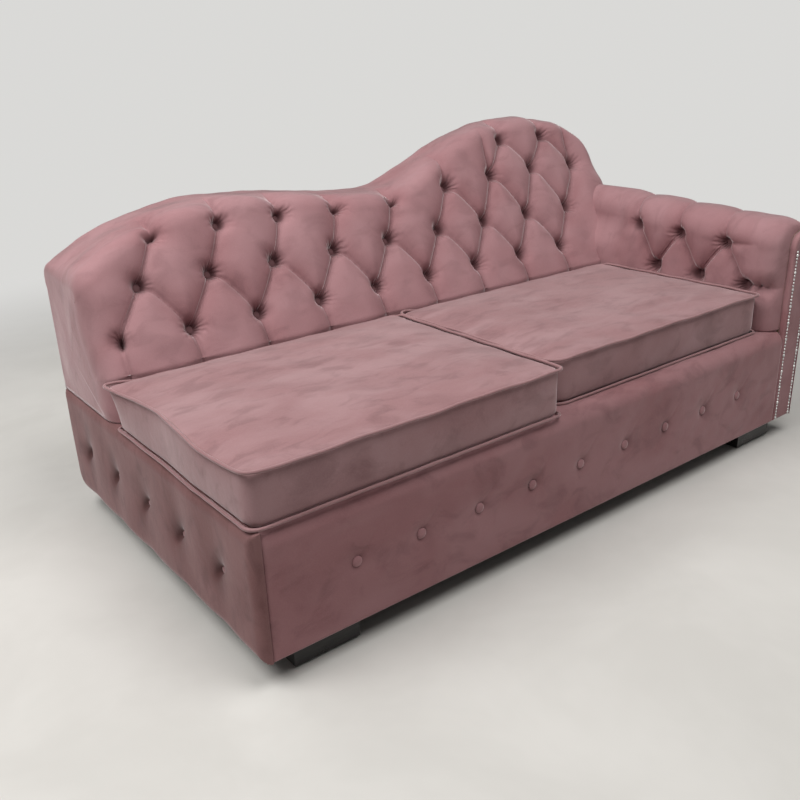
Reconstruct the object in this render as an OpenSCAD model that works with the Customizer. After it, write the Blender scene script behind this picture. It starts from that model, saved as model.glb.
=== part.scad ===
// Fainting couch: a serpentine tufted back, one tufted arm and two loose seat cushions.
// Millimetres, +Z up, front towards -Y, origin on the floor under the middle of the couch.
// Pieces are drawn from the front left corner and moved to the middle by in_place().

/* [Overall] */
// Length over everything, side to side
couch_w = 1870; // [1700:10:2200]
// Depth over everything, front to back
couch_d = 1030; // [1000:5:1120]
// Height of the crown of the back
crown_h = 922; // [880:2:1000]

/* [Base] */
// Clear height under the base
foot_h = 58; // [45:1:120]
// Height of the base, underside to seat deck
base_h = 288; // [250:1:340]
// Thickness of the wooden rails
rail_t = 22; // [18:1:28]
// Thickness of the padded front panel
front_pad_t = 22; // [12:1:30]
// Thickness of the padded side panel
side_pad_t = 22; // [12:1:30]
// Reach of the padded roll on top of the front rail
border_reach = 62; // [50:1:80]
// Thickness of the foam deck pad
deck_pad_t = 38; // [25:1:45]
// Thickness of the felt on the springs
felt_t = 4; // [2:1:6]
// Thickness of the underside cloth
dust_t = 2; // [1:0.5:3]

/* [Feet] */
// Width of a foot along the couch
foot_w = 160; // [80:5:200]
// Depth of a foot
foot_d = 80; // [60:5:120]
// Distance of a foot from the end of the couch
foot_side_inset = 80; // [60:5:160]
// Distance of a foot from the front or rear face
foot_front_inset = 28; // [26:1:60]
// Thickness of the glides under the feet
glide_t = 3; // [2:0.5:6]
// Diameter of a glide
glide_d = 28; // [16:1:40]

/* [Springs] */
// Number of zigzag springs
spring_count = 8; // [5:1:10]
// Wire of a zigzag spring
wire_t = 4; // [3:0.5:5]
// Width of a zigzag spring
spring_w = 52; // [40:1:70]
// Zigzag turns along a spring
spring_turns = 16; // [10:2:20]

/* [Seat cushions] */
// Height of a cushion between its piped edges, piping included
cushion_t = 120; // [90:1:150]
// Rise of the crown above the top piping
cushion_crown = 14; // [4:1:30]
// How far the sides pull in between the corners
side_draw = 7; // [2:1:12]
// Width of the left cushion
left_cushion_w = 826; // [700:1:900]
// Setback of the right cushion's front
right_setback = 42; // [0:1:60]
// Diameter of the piping
piping_d = 7; // [5:0.5:9]
// Radius of a cushion's corners
cushion_corner_r = 26; // [15:1:50]

/* [Arm] */
// Width of the arm's frame
arm_w = 100; // [90:1:130]
// Height of the arm's frame at the front
arm_front_h = 632; // [600:2:700]
// Rise of the arm from front to rear, for each unit of depth
arm_slope = 0.055; // [0:0.005:0.08]
// Thickness of the tufted pad inside the arm
arm_pad_t = 65; // [50:1:80]
// Thickness of the padding on top of the arm
arm_top_pad_t = 25; // [15:1:40]
// Thickness of the arm's front facing
facing_t = 19; // [12:1:25]
// Thickness of the arm's boards
arm_board_t = 15; // [10:1:20]

/* [Back] */
// Run of the leaning front face for each unit of rise
back_lean = 0.58; // [0.4:0.02:0.62]
// Depth of the top at the crown, from the leaning face to the rear panel
crown_top_d = 112.7; // [90:0.1:160]
// Thickness of the tufted back pad
back_pad_t = 65; // [55:1:80]
// Thickness of the padding over the top edge
top_pad_t = 50; // [35:1:60]
// Radius of the front edge of the top
top_round_r = 60; // [30:1:90]
// Radius of the rear edge of the top
rear_round_r = 36; // [20:1:45]
// Thickness of the frame ribs
rib_t = 18; // [12:1:22]
// Thickness of the bent and flat boards on the ribs
panel_t = 4; // [3:0.5:6]
// Thickness of the covered rear panel
cover_t = 8; // [5:0.5:12]
// Thickness of the padded end pieces
end_pad_t = 22; // [12:1:28]

/* [Tufting] */
// Distance between the buttons of a row on the back
tuft_pitch = 189; // [160:1:205]
// Distance of the first button from the left end
tuft_start = 58; // [50:1:90]
// Height of the lowest row on the back
tuft_first_h = 540; // [520:1:560]
// Rise from row to row on the back
tuft_rise = 112; // [95:1:118]
// Depth of the pull at a button
tuft_depth = 54; // [36:1:56]
// Depth of the folds between buttons
fold_depth = 20; // [8:1:26]
// Distance between the arm's buttons along the arm
arm_tuft_pitch = 158; // [130:1:180]
// Distance of the first high button of the arm from the front
arm_tuft_start = 195; // [185:1:230]
// Diameter of a covered button
button_d = 23; // [16:1:28]
// Number of buttons along the front
front_button_count = 9; // [5:1:10]
// Distance between the front buttons
front_button_pitch = 166; // [120:1:170]
// Distance of the first front button from the left end
front_button_start = 229; // [120:1:260]
// Number of buttons on the side panel
side_button_count = 5; // [3:1:5]
// Distance of the first side button from the front
side_button_start = 166; // [100:1:200]
// Distance of the last side button from the rear
side_button_rear = 128; // [100:1:200]

/* [Nail trim] */
// Height of a nail head
nail_h = 3; // [2:0.5:4]
// Diameter of a nail head
nail_d = 10; // [7:0.5:12]
// Distance between nails
nail_pitch = 50; // [30:1:80]
// Width of the pressed bead strip
strip_w = 8; // [5:0.5:10]
// Thickness of the pressed bead strip
strip_t = 1; // [0.5:0.25:2]

/* [Hidden] */
$fn = 48;
clear = 0.3;
back_gap = 5;
cushion_gap = 3;
overrun = 10;

// Heights and depths that follow from the driving sizes
deck_z = foot_h + base_h;
rail_bottom = foot_h + dust_t;
rail_top = deck_z - deck_pad_t - felt_t - wire_t;
felt_z = rail_top + wire_t;
deck_pad_z = felt_z + felt_t;
cushion_z = deck_z + clear;
seat_z = cushion_z + cushion_t;
front_y = nail_h;
rail_y = front_y + front_pad_t;
cover_y = couch_d - cover_t;
rear_board_y = cover_y - panel_t;
rear_rail_y = rear_board_y - rail_t;
back_y = cover_y - crown_top_d - back_lean * (crown_h - seat_z);
seat_d = back_y - back_gap;
kick_y = back_y + back_pad_t;
rib_y = kick_y + panel_t;
rib_z = rail_top + rail_t;
spring_rail_y = back_y + side_pad_t;
border_y = front_y + border_reach;

// Lengthwise places
arm_x = couch_w - arm_w;
base_x0 = side_pad_t;
right_rail_x = arm_x - rail_t;
outer_cover_t = 6;
arm_core_w = arm_w - outer_cover_t;
arm_r = arm_core_w / 2;
arm_mid_x = arm_x + arm_r;
pad_face_x = arm_x - arm_pad_t;
back_x0 = end_pad_t;
back_x1 = couch_w - end_pad_t;
right_cushion_x = left_cushion_w + cushion_gap;
right_cushion_w = pad_face_x - back_gap - right_cushion_x;

// The crest of the back: shares of the length against shares of the rise above the deck
crest_shares = [
    [0, 0.57], [0.08, 0.70], [0.195, 0.783], [0.32, 0.772], [0.45, 0.725],
    [0.54, 0.728], [0.62, 0.828], [0.72, 0.95], [0.835, 1], [0.925, 0.965],
    [0.97, 0.885], [0.99, 0.79], [1, 0.70]
];
crest_last = len(crest_shares) - 1;
crest_rise = crown_h - deck_z;
lean_angle = atan(back_lean);

velvet = [0.62, 0.44, 0.47];
velvet_dark = [0.50, 0.34, 0.36];
velvet_pale = [0.68, 0.52, 0.54];
pine = [0.80, 0.65, 0.44];
board_brown = [0.55, 0.42, 0.30];
foam = [0.93, 0.89, 0.72];
steel = [0.62, 0.63, 0.65];
silver = [0.80, 0.80, 0.82];

module in_place() translate([-couch_w / 2, -couch_d / 2, 0]) children();

// A plate whose outline is drawn in Y and Z, from x0 on
module side_plate(x0, t) translate([x0, 0, 0]) rotate([90, 0, 90]) linear_extrude(t) children();

// A plate whose outline is drawn in X and Z, from y0 on
module front_plate(y0, t) translate([0, y0 + t, 0]) rotate([90, 0, 0]) linear_extrude(t) children();

module box(low, high) translate(low) cube(high - low);

// Crest height and its slope at a control point
function crest_x(i) = crest_shares[i][0] * couch_w;
function crest_z(i) = deck_z + crest_shares[i][1] * crest_rise;
function crest_slope(i) =
    let (a = max(i - 1, 0), b = min(i + 1, crest_last))
    (crest_z(b) - crest_z(a)) / (crest_x(b) - crest_x(a));
function crest_cell(x, i = 0) = i >= crest_last - 1 || x <= crest_x(i + 1) ? i : crest_cell(x, i + 1);

// Height of the crest over x, a smooth curve through the control points
function crest(x) =
    let (i = crest_cell(x), w = crest_x(i + 1) - crest_x(i), t = (x - crest_x(i)) / w)
    crest_z(i) * (2 * pow(t, 3) - 3 * pow(t, 2) + 1)
        + crest_slope(i) * w * (pow(t, 3) - 2 * pow(t, 2) + t)
        + crest_z(i + 1) * (3 * pow(t, 2) - 2 * pow(t, 3))
        + crest_slope(i + 1) * w * (pow(t, 3) - pow(t, 2));

// Y of the back's front face at a height
function back_face(z) = back_y + back_lean * max(0, z - seat_z);

// Columns of the back pad: every quarter of the buttons' pitch, closer together at the ends
end_round_d = 34;
back_columns = concat(
    [0],
    [for (share = [-0.25, -0.125]) tuft_start + share * tuft_pitch],
    [for (j = [0:floor((couch_w - tuft_start - end_round_d) / (tuft_pitch / 4))])
        tuft_start + j * tuft_pitch / 4],
    [couch_w - end_round_d / 2, couch_w - end_round_d / 5, couch_w]);

// The crest as the straight steps between the columns, which the boards follow too
crest_table = [for (x = back_columns) [x, crest(x)]];
function crest_line(x0, x1, drop) = [
    for (x = concat([x0], [for (c = back_columns) if (c > x0 && c < x1) c], [x1]))
        [x, lookup(x, crest_table) - drop]];

// Area under the crest, lowered by drop, between two places along the couch
module under_crest(x0, x1, z0, drop) polygon(concat([[x1, z0], [x0, z0]], crest_line(x0, x1, drop)));

function reversed(list) = [for (i = [len(list) - 1:-1:0]) list[i]];

/* Smooth maths for the soft forms */
function clamp01(v) = max(0, min(1, v));
function lerp(a, b, t) = a + (b - a) * t;
function mid(a, b) = (a + b) / 2;

// Distance from point p to the line between a and b
function to_line(p, a, b) =
    let (d = b - a, t = clamp01(((p - a) * d) / (d * d))) norm(p - a - t * d);

// Height of a pillow at a distance from its fold: a round shoulder that levels out at reach
function pillow(dist, reach) = sqrt(max(0, 1 - pow(1 - clamp01(dist / reach), 2)));

// Triangles between two rings of points of the same length
function ring_faces(a, b, count) = [
    for (i = [0:count - 1])
        let (j = (i + 1) % count)
        each [[a + i, a + j, b + i], [a + j, b + j, b + i]]];

/* Feet and what holds them */
foot_far_x = couch_w - foot_side_inset - foot_w;
foot_rear_y = couch_d - foot_front_inset - foot_d;
foot_places = [
    for (x = [foot_side_inset, foot_far_x], y = [foot_front_inset, foot_rear_y]) [x, y, 0]];
foot_bolt_r = 4;
foot_bolt_head_r = 7.5;
foot_bolt_head_t = 5;
foot_bolt_grip = 30;
foot_bolt_hole_r = foot_bolt_r + clear;
plate_t = 18;
plate_margin = 24;
foot_bevel = 4;

foot_bolt_shares = [3 / 8, 3 / 4];

// Bolts are counted from a foot's outer edge, so that they stay clear of the end rails
module foot_bolt_axes()
    for (p = foot_places, s = foot_bolt_shares)
        translate(p + [foot_w * (p[0] < couch_w / 2 ? s : 1 - s), foot_d / 2, 0]) children();

module feet() color("#1c1a19") difference() {
    for (p = foot_places) translate(p) hull() {
        translate([foot_bevel, foot_bevel, glide_t])
            cube([foot_w - 2 * foot_bevel, foot_d - 2 * foot_bevel, foot_h - glide_t]);
        translate([0, 0, glide_t + foot_bevel]) cube([foot_w, foot_d, foot_h - glide_t - foot_bevel]);
    }
    foot_bolt_axes() translate([0, 0, foot_h - foot_bolt_grip - clear])
        cylinder(h = foot_bolt_grip + overrun, r = foot_bolt_hole_r);
}

module foot_glides() color("#8b8b86")
    for (p = foot_places, x = [foot_w / 4, foot_w * 3 / 4])
        translate(p + [x, foot_d / 2, 0]) cylinder(h = glide_t, d = glide_d);

module foot_plates() color(board_brown) difference() {
    for (p = foot_places)
        let (
            x0 = max(p[0] - plate_margin, base_x0 + rail_t),
            x1 = min(p[0] + foot_w + plate_margin, right_rail_x),
            y0 = max(p[1] - plate_margin, rail_y + rail_t),
            y1 = min(p[1] + foot_d + plate_margin, rear_rail_y))
        box([x0, y0, rail_bottom], [x1, y1, rail_bottom + plate_t]);
    foot_bolt_axes() translate([0, 0, foot_h]) cylinder(h = plate_t + overrun, r = foot_bolt_hole_r);
}

module foot_bolts() color(steel) foot_bolt_axes() {
    translate([0, 0, foot_h - foot_bolt_grip])
        cylinder(h = foot_bolt_grip + dust_t + plate_t + foot_bolt_head_t, r = foot_bolt_r);
    translate([0, 0, rail_bottom + plate_t]) cylinder(h = foot_bolt_head_t, r = foot_bolt_head_r);
}

/* Base frame */
rail_h = rail_top - rail_bottom;
block_w = 45;
cross_w = 34;
cross_h = rail_h * 2 / 3;
cross_count = 2;

module front_rail() color(pine)
    box([base_x0, rail_y, rail_bottom], [arm_x, rail_y + rail_t, rail_top]);

module rear_rail() color(pine) difference() {
    box([base_x0, rear_rail_y, rail_bottom], [arm_x, rear_board_y, rail_top]);
    back_bolt_axes() back_bolt_hole();
}

module left_rail() color(pine)
    box([base_x0, rail_y + rail_t, rail_bottom], [base_x0 + rail_t, rear_rail_y, rail_top]);

module right_rail() color(pine) difference() {
    box([right_rail_x, rail_y + rail_t, rail_bottom], [arm_x, rear_rail_y, rail_top]);
    arm_bolt_axes() cylinder(h = arm_bolt_l, r = arm_bolt_r + clear);
}

module long_rail(y) box([base_x0 + rail_t, y, rail_bottom], [right_rail_x, y + rail_t, rail_top]);

module spring_rail() color(pine) long_rail(spring_rail_y);

module back_bearer() color(pine) difference() {
    long_rail(rib_y);
    back_bolt_axes() back_bolt_hole();
}

module cross_rails() color(pine)
    for (i = [1:cross_count])
        let (x = base_x0 + (arm_x - base_x0) * i / (cross_count + 1) - cross_w / 2)
        box([x, rail_y + rail_t, rail_bottom], [x + cross_w, spring_rail_y, rail_bottom + cross_h]);

module corner_blocks() color(pine)
    for (x = [base_x0 + rail_t, right_rail_x - block_w], y = [rail_y + rail_t, rear_rail_y - block_w])
        box([x, y, rail_bottom + plate_t + 2 * foot_bolt_head_t], [x + block_w, y + block_w, rail_top]);

module dust_cover() color("#2b2a2a") difference() {
    box([base_x0, rail_y, foot_h], [arm_x + arm_core_w, cover_y, rail_bottom]);
    foot_bolt_axes() translate([0, 0, foot_h - overrun])
        cylinder(h = dust_t + 2 * overrun, r = foot_bolt_hole_r);
}

/* Springs and deck */
spring_y0 = rail_y + rail_t / 2;
spring_y1 = spring_rail_y + rail_t / 2;
spring_step = (spring_y1 - spring_y0) / spring_turns;
spring_bed_w = right_rail_x - base_x0 - rail_t;
clip_w = 12;
clip_d = 6;
clip_t = 1.5;
turn_points = 5;

function spring_x(i) = base_x0 + rail_t + spring_bed_w * (i + 0.5) / spring_count;

// Middle line of a spring: bars across, joined by half turns at their ends
spring_bar = spring_w / 2 - spring_step / 2;
spring_line = concat(
    [[-spring_bar, 0]],
    [for (k = [0:spring_turns - 1], j = [0:turn_points])
        let (side = k % 2 == 0 ? 1 : -1, a = -90 + 180 * j / turn_points, r = spring_step / 2)
        [side * (spring_bar + r * cos(a)), k * spring_step + r + r * sin(a)]],
    [[spring_bar, spring_turns * spring_step]]);

function line_normal(p, i) =
    let (a = p[max(i - 1, 0)], b = p[min(i + 1, len(p) - 1)], d = (b - a) / norm(b - a)) [-d[1], d[0]];

module zigzag_springs() color(steel)
    for (i = [0:spring_count - 1])
        translate([spring_x(i), spring_y0, rail_top]) linear_extrude(wire_t)
            let (n = len(spring_line))
            polygon(concat(
                [for (k = [0:n - 1]) spring_line[k] + line_normal(spring_line, k) * wire_t / 2],
                [for (k = [n - 1:-1:0]) spring_line[k] - line_normal(spring_line, k) * wire_t / 2]));

// An angle clip: its foot lies on the rail and its lip stands against the end bar of a spring
module spring_clip() {
    translate([-clip_w / 2, -clip_d, 0]) cube([clip_w, clip_d, clip_t]);
    translate([-clip_w / 2, -clip_t, 0]) cube([clip_w, clip_t, wire_t]);
}

module spring_clips() color(steel)
    for (i = [0:spring_count - 1], rear = [0, 1], side = [-1, 1])
        translate([spring_x(i) + side * spring_bar / 2, rear ? spring_y1 : spring_y0, rail_top])
            rotate([0, 0, 180 * rear]) translate([0, -wire_t / 2 - clear, 0]) spring_clip();

module deck_felt() color("#6d6a66")
    box([base_x0, border_y, felt_z], [arm_x, kick_y, deck_pad_z]);

module deck_pad() color(velvet_dark)
    box([base_x0, border_y, deck_pad_z], [arm_x, kick_y, deck_z]);

/* Padded front and side */
border_r = min(border_reach - front_pad_t, deck_pad_t + felt_t);
dish_r = 70;
dish_depth = 7;
panel_edge_r = 12;
side_corner_r = 50;
front_button_h = 200;
side_button_h = 193;
side_button_pitch = (couch_d - side_button_start - side_button_rear) / (side_button_count - 1);

module dish() translate([0, 0, dish_r]) sphere(r = dish_r);

module button(thick) {
    cylinder(h = thick / 2, d = button_d);
    translate([0, 0, thick / 2]) intersection() {
        cylinder(h = thick / 2, d = button_d);
        translate([0, 0, thick / 2 - dome_r(thick)]) sphere(r = dome_r(thick));
    }
}

// Radius of the dome that rises half the button's thickness over its width
function dome_r(thick) = (pow(button_d / 2, 2) + pow(thick / 2, 2)) / thick;

// Gap that lets a flat button rest in a round dish
dish_rise = dish_r - sqrt(pow(dish_r, 2) - pow(button_d / 2, 2));
button_t = 5.5;

module front_button_places()
    for (i = [0:front_button_count - 1])
        translate([front_button_start + i * front_button_pitch, front_y, front_button_h])
            rotate([90, 0, 0]) children();

module side_button_places()
    for (i = [0:side_button_count - 1])
        translate([0, side_button_start + i * side_button_pitch, side_button_h])
            rotate([0, -90, 0]) children();

module front_panel() color(velvet_dark) difference() {
    side_plate(base_x0, arm_x - base_x0) {
        translate([front_y, foot_h]) square([front_pad_t, deck_z - border_r - foot_h]);
        translate([front_y + border_r, rail_top]) square([border_reach - border_r, deck_z - rail_top]);
        intersection() {
            translate([front_y, deck_z - border_r]) square(border_r);
            translate([front_y + border_r, deck_z - border_r]) circle(r = border_r);
        }
    }
    front_button_places() translate([0, 0, -dish_depth]) dish();
    // Room for the springs' ends and clips on the front rail
    box([base_x0 - overrun, rail_y, rail_top - clear], [arm_x + overrun, border_y + overrun, felt_z + clear]);
}

module front_buttons() color(velvet) front_button_places()
    translate([0, 0, dish_rise + clear - dish_depth]) button(button_t);

module side_panel() color(velvet_pale) difference() {
    side_plate(0, side_pad_t) hull() {
        translate([front_y, foot_h]) square([panel_edge_r, deck_z - foot_h]);
        translate([couch_d - panel_edge_r, deck_z - panel_edge_r]) square(panel_edge_r);
        translate([couch_d - side_corner_r, foot_h + side_corner_r]) circle(r = side_corner_r);
    }
    side_button_places() translate([0, 0, -dish_depth]) dish();
}

module side_buttons() color(velvet) side_button_places()
    translate([0, 0, dish_rise + clear - dish_depth]) button(button_t);

/* Arm */
arm_z1 = arm_front_h - arm_r;
arm_bolt_r = 4;
arm_bolt_head_r = 8;
arm_bolt_head_t = 3;
arm_bolt_tip = 8;
arm_bolt_l = rail_t + arm_board_t + arm_bolt_tip;
arm_bolt_z = rail_bottom + rail_h / 2;
post_w = 44;
post_y0 = front_y + facing_t;
post_y1 = back_y - clear - post_w;
post_ys = [post_y0, (post_y0 + post_y1) / 2, post_y1];
arm_bolt_ys = [post_ys[1] + post_w / 2, post_ys[2] + post_w / 2];

// Height of a line on the arm at depth y, when it starts at height z at the front
function arm_z(z, y) = z + arm_slope * y * clamp01((z - deck_z) / (arm_z1 - deck_z));

module arm_bolt_axes()
    for (y = arm_bolt_ys) translate([right_rail_x, y, arm_bolt_z]) rotate([0, 90, 0]) children();

// Depth at which a line that starts at height z and climbs at slope meets the back's face
function meet_y(z, slope) =
    max(back_y - clear, (back_y - clear + back_lean * (z - seat_z)) / (1 - back_lean * slope));

// Rear edge of the arm above the deck: it follows the leaning face of the back
arm_end_y = meet_y(arm_z1, arm_slope);
arm_rear_edge = [
    [back_y - clear, deck_z], [back_y - clear, seat_z], [arm_end_y, arm_z(arm_z1, arm_end_y)]];

// Outline of the arm's frame from the side, with its rear part under the back
module arm_side_2d(y0, y1)
    polygon(concat(
        [[y0, rail_bottom], [y1, rail_bottom], [y1, rail_top], [kick_y, rail_top], [kick_y, deck_z]],
        arm_rear_edge,
        [[y0, arm_z(arm_z1, y0)]]));

module arm_inner_board() color(board_brown) difference() {
    side_plate(arm_x, arm_board_t) arm_side_2d(front_y + facing_t, rear_board_y);
    arm_bolt_axes() cylinder(h = arm_bolt_l + overrun, r = arm_bolt_r + clear);
}

module arm_outer_board() color(board_brown)
    side_plate(arm_x + arm_core_w - arm_board_t, arm_board_t)
        arm_side_2d(front_y + facing_t, rear_board_y);

module arm_posts() color(pine) difference() {
    for (y = post_ys)
        side_plate(arm_x + arm_board_t, arm_core_w - 2 * arm_board_t)
            polygon([
                [y, rail_bottom], [y + post_w, rail_bottom],
                [y + post_w, arm_z(arm_z1, y + post_w)], [y, arm_z(arm_z1, y)]]);
    arm_bolt_axes() cylinder(h = arm_bolt_l + clear, r = arm_bolt_r + clear);
}

// A half round bar that follows the arm's slope, laid on the boards
module arm_top_former() color(board_brown) intersection() {
    translate([arm_mid_x, 0, arm_z1]) rotate([-90 + atan(arm_slope), 0, 0])
        cylinder(h = couch_d, r = arm_r);
    side_plate(arm_x, arm_core_w)
        polygon([
            [post_y0, arm_z(arm_z1, post_y0)], [arm_end_y, arm_z(arm_z1, arm_end_y)],
            [back_face(crown_h) - clear, crown_h], [post_y0, crown_h]]);
}

module arm_facing() color(velvet_dark)
    front_plate(front_y, facing_t) {
        translate([arm_x, foot_h]) square([arm_core_w, arm_z1 - foot_h]);
        translate([arm_mid_x, arm_z1]) circle(r = arm_r);
    }

module arm_outer_panel() color(velvet)
    side_plate(arm_x + arm_core_w, outer_cover_t)
        polygon(concat(
            [[front_y, foot_h], [cover_y, foot_h], [cover_y, deck_z]],
            arm_rear_edge,
            [[front_y, arm_z(arm_z1, front_y)]]));

module arm_bolts() color(steel) arm_bolt_axes() {
    translate([0, 0, -arm_bolt_head_t]) cylinder(h = arm_bolt_head_t, r = arm_bolt_head_r);
    cylinder(h = arm_bolt_l, r = arm_bolt_r);
}

/* Nail trim */
nail_inset = 12;
strip_z0 = foot_h + nail_d;
nail_count = floor((arm_z1 - strip_z0 - nail_d) / nail_pitch) + 1;
nail_rows_x = [arm_x + nail_inset, arm_x + arm_core_w - nail_inset];

module nail_strips() color(silver) difference() {
    for (x = nail_rows_x)
        box([x - strip_w / 2, front_y - strip_t, strip_z0 - nail_d / 2], [x + strip_w / 2, front_y, arm_z1]);
    for (x = nail_rows_x, i = [0:nail_count - 1])
        translate([x, front_y + overrun, strip_z0 + i * nail_pitch]) rotate([90, 0, 0])
            cylinder(h = 2 * overrun, r = nail_d / 2 + clear);
}

module trim_nails() color(silver)
    for (x = nail_rows_x, i = [0:nail_count - 1])
        translate([x, front_y, strip_z0 + i * nail_pitch]) rotate([90, 0, 0]) intersection() {
            cylinder(h = nail_h, d = nail_d);
            let (r = (pow(nail_d / 2, 2) + pow(nail_h, 2)) / (2 * nail_h))
                translate([0, 0, nail_h - r]) sphere(r = r);
        }

/* Back frame */
back_bolt_r = 4;
back_bolt_head_r = 8;
back_bolt_head_t = 3;
back_bolt_grip = 30;
back_rail_w = 44;
rib_count = 5;

module back_bolt_axes()
    for (x = [couch_w / 8, arm_x - couch_w / 8], y = [rib_y + rail_t / 2, rear_rail_y + rail_t / 2])
        translate([x, y, rail_top - back_bolt_grip]) children();

module back_bolt_hole() translate([0, 0, -clear])
    cylinder(h = back_bolt_grip + rail_t + overrun, r = back_bolt_r + clear);

module back_bolts() color(steel) back_bolt_axes() {
    cylinder(h = back_bolt_grip + rail_t, r = back_bolt_r);
    translate([0, 0, back_bolt_grip + rail_t]) cylinder(h = back_bolt_head_t, r = back_bolt_head_r);
}

module back_base_rails() color(pine) difference() {
    for (y = [rib_y, rear_board_y - back_rail_w])
        box([back_x0, y, rail_top], [back_x1, y + back_rail_w, rib_z]);
    back_bolt_axes() back_bolt_hole();
}

function rib_x(i) = back_x0 + (back_x1 - back_x0 - rib_t) * i / (rib_count - 1);
function board_crest(x) = lookup(x, crest_table) - top_pad_t;

module back_ribs() color(board_brown)
    for (i = [0:rib_count - 1])
        let (
            x = rib_x(i),
            z = min(board_crest(x), board_crest(x + rib_t)) - panel_t,
            shift = rib_y - back_y)
        side_plate(x, rib_t)
            polygon([
                [rib_y, rib_z], [rear_board_y, rib_z], [rear_board_y, z],
                [back_face(z) + shift, z], [rib_y, seat_z]]);

module back_kick_board() color(board_brown)
    box([back_x0, kick_y, rail_top], [back_x1, rib_y, seat_z]);

// Strip of the leaning or level area behind the pad, seen from the side, up to a height
function board_top(shift) = [back_face(crown_h) + shift, crown_h];

module back_front_board() color(board_brown) intersection() {
    front_plate(kick_y, couch_d - kick_y) under_crest(back_x0, back_x1, seat_z, top_pad_t + clear);
    side_plate(back_x0, back_x1 - back_x0)
        polygon([
            [kick_y + clear, seat_z], [rib_y, seat_z],
            board_top(back_pad_t + panel_t), board_top(back_pad_t + clear)]);
}

module back_top_board() color(board_brown) intersection() {
    front_plate(kick_y, rear_board_y - kick_y)
        polygon(concat(
            crest_line(back_x0, back_x1, top_pad_t + clear),
            reversed(crest_line(back_x0, back_x1, top_pad_t + panel_t))));
    side_plate(back_x0, back_x1 - back_x0)
        polygon([
            [rib_y, seat_z], [rear_board_y, seat_z], [rear_board_y, crown_h],
            board_top(back_pad_t + panel_t)]);
}

module back_rear_board() color(board_brown) front_plate(rear_board_y, panel_t)
    let (x1 = arm_x + arm_core_w)
    polygon(concat(
        [[x1, deck_z], [x1, rail_bottom], [back_x0, rail_bottom]],
        crest_line(back_x0, back_x1, top_pad_t),
        [[back_x1, deck_z]]));

module rear_cover() color(velvet) front_plate(cover_y, cover_t)
    polygon(concat(
        [[couch_w, foot_h], [side_pad_t, foot_h], [side_pad_t, deck_z], [0, deck_z]],
        crest_line(0, couch_w, top_pad_t)));

module back_end(x0)
    side_plate(x0, end_pad_t)
        let (z = min(board_crest(x0), board_crest(x0 + end_pad_t)))
        polygon([
            [kick_y, deck_z], [cover_y, deck_z], [cover_y, z],
            [back_face(z) + back_pad_t, z], [kick_y, seat_z]]);

module back_left_end() color(velvet_pale) back_end(0);

module back_right_end() color(velvet) back_end(couch_w - end_pad_t);

/* Back tufting */
tuft_rows = 4;
tuft_edge_share = 0.42;
tuft_crest_room = 8;
tuft_follow_shares = [0, 0, 0.2, 0];
// Shares of the length against shares of the pitch by which the third row of buttons moves
tuft_shift_shares = [
    [0, 0], [0.13, -0.14], [0.24, -0.15], [0.34, -0.21], [0.44, -0.25], [0.54, -0.18], [0.64, -0.03],
    [0.7, 0], [1, 0]
];
tuft_shift_row = 2;
tuft_reach_share = 0.25;
tuft_pull_share = 0.11;
tuft_reach = tuft_pitch * tuft_reach_share;
tuft_pull = tuft_pitch * tuft_pull_share;
tuft_near_share = 0.6;
mean_crest_share = 0.84;
tuft_mean_crest = deck_z + crest_rise * mean_crest_share;

function slope_s(z) = (z - seat_z) / cos(lean_angle);
function tuft_x(r, k) = tuft_start + (k + r / 2) * tuft_pitch;
function tuft_z(r, x) =
    tuft_first_h + r * tuft_rise + tuft_follow_shares[r] * (crest(x) - tuft_mean_crest);
function row_limit(r) =
    tuft_z(r, couch_w / 2) > arm_front_h + arm_top_pad_t
        ? couch_w - tuft_edge_share * tuft_pitch : pad_face_x;

// How far a column moves sideways, at its most
function tuft_shift(x) = tuft_pitch * lookup(x / couch_w, tuft_shift_shares);

// Places of the buttons of a row: length along the couch, height on the leaning face, and column
function tuft_row(r) = [
    for (k = [0:ceil(couch_w / tuft_pitch)])
        let (x = tuft_x(r, k), shift = r == tuft_shift_row ? tuft_shift(x) : 0)
        if (x < row_limit(r) && tuft_z(r, x) < crest(x) - tuft_crest_room) [x + shift, tuft_z(r, x), x]];
back_tufts = [for (r = [0:tuft_rows - 1]) tuft_row(r)];

// Folds run from each button to its neighbours in the next row, or straight on past the last row
function near(a, b) = abs(a[0] - b[0]) < tuft_pitch * tuft_near_share;
function spot(p) = [p[0], slope_s(p[1])];
function uppers(r, p) = r + 1 < tuft_rows ? [for (q = back_tufts[r + 1]) if (near(p, q)) q] : [];
back_folds = concat(
    [for (p = back_tufts[0]) [spot(p), [p[0], -cushion_t]]],
    [for (r = [0:tuft_rows - 2], p = back_tufts[r], q = uppers(r, p)) [spot(p), spot(q)]],
    [for (r = [1:tuft_rows - 1], p = back_tufts[r])
        if (len(uppers(r, p)) < 2 && r > 1) [spot(p), spot(p) + [0, couch_d]]]);
back_spots = [for (row = back_tufts, p = row) spot(p)];

// How deep the cloth lies below the fullest surface at a place on the face
pit_wall = 8;
function pull_depth(p, folds, spots, reach, pull, pad_t) =
    let (
        fold_dist = min([for (f = folds) to_line(p, f[0], f[1])]),
        spot_dist = min([for (b = spots) norm(p - b)]))
    fold_depth * (1 - pillow(fold_dist, reach))
        + (min(tuft_depth, pad_t - pit_wall) - fold_depth) * exp(-pow(spot_dist / pull, 2));

/* Back pad: one section of the cushion after another, along the couch */
end_round_reach = 70;

// Rounding of the pad towards its ends
function end_drop(x) =
    let (d = min(x, couch_w - x)) end_round_d * (1 - pillow(d, end_round_reach));

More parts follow.
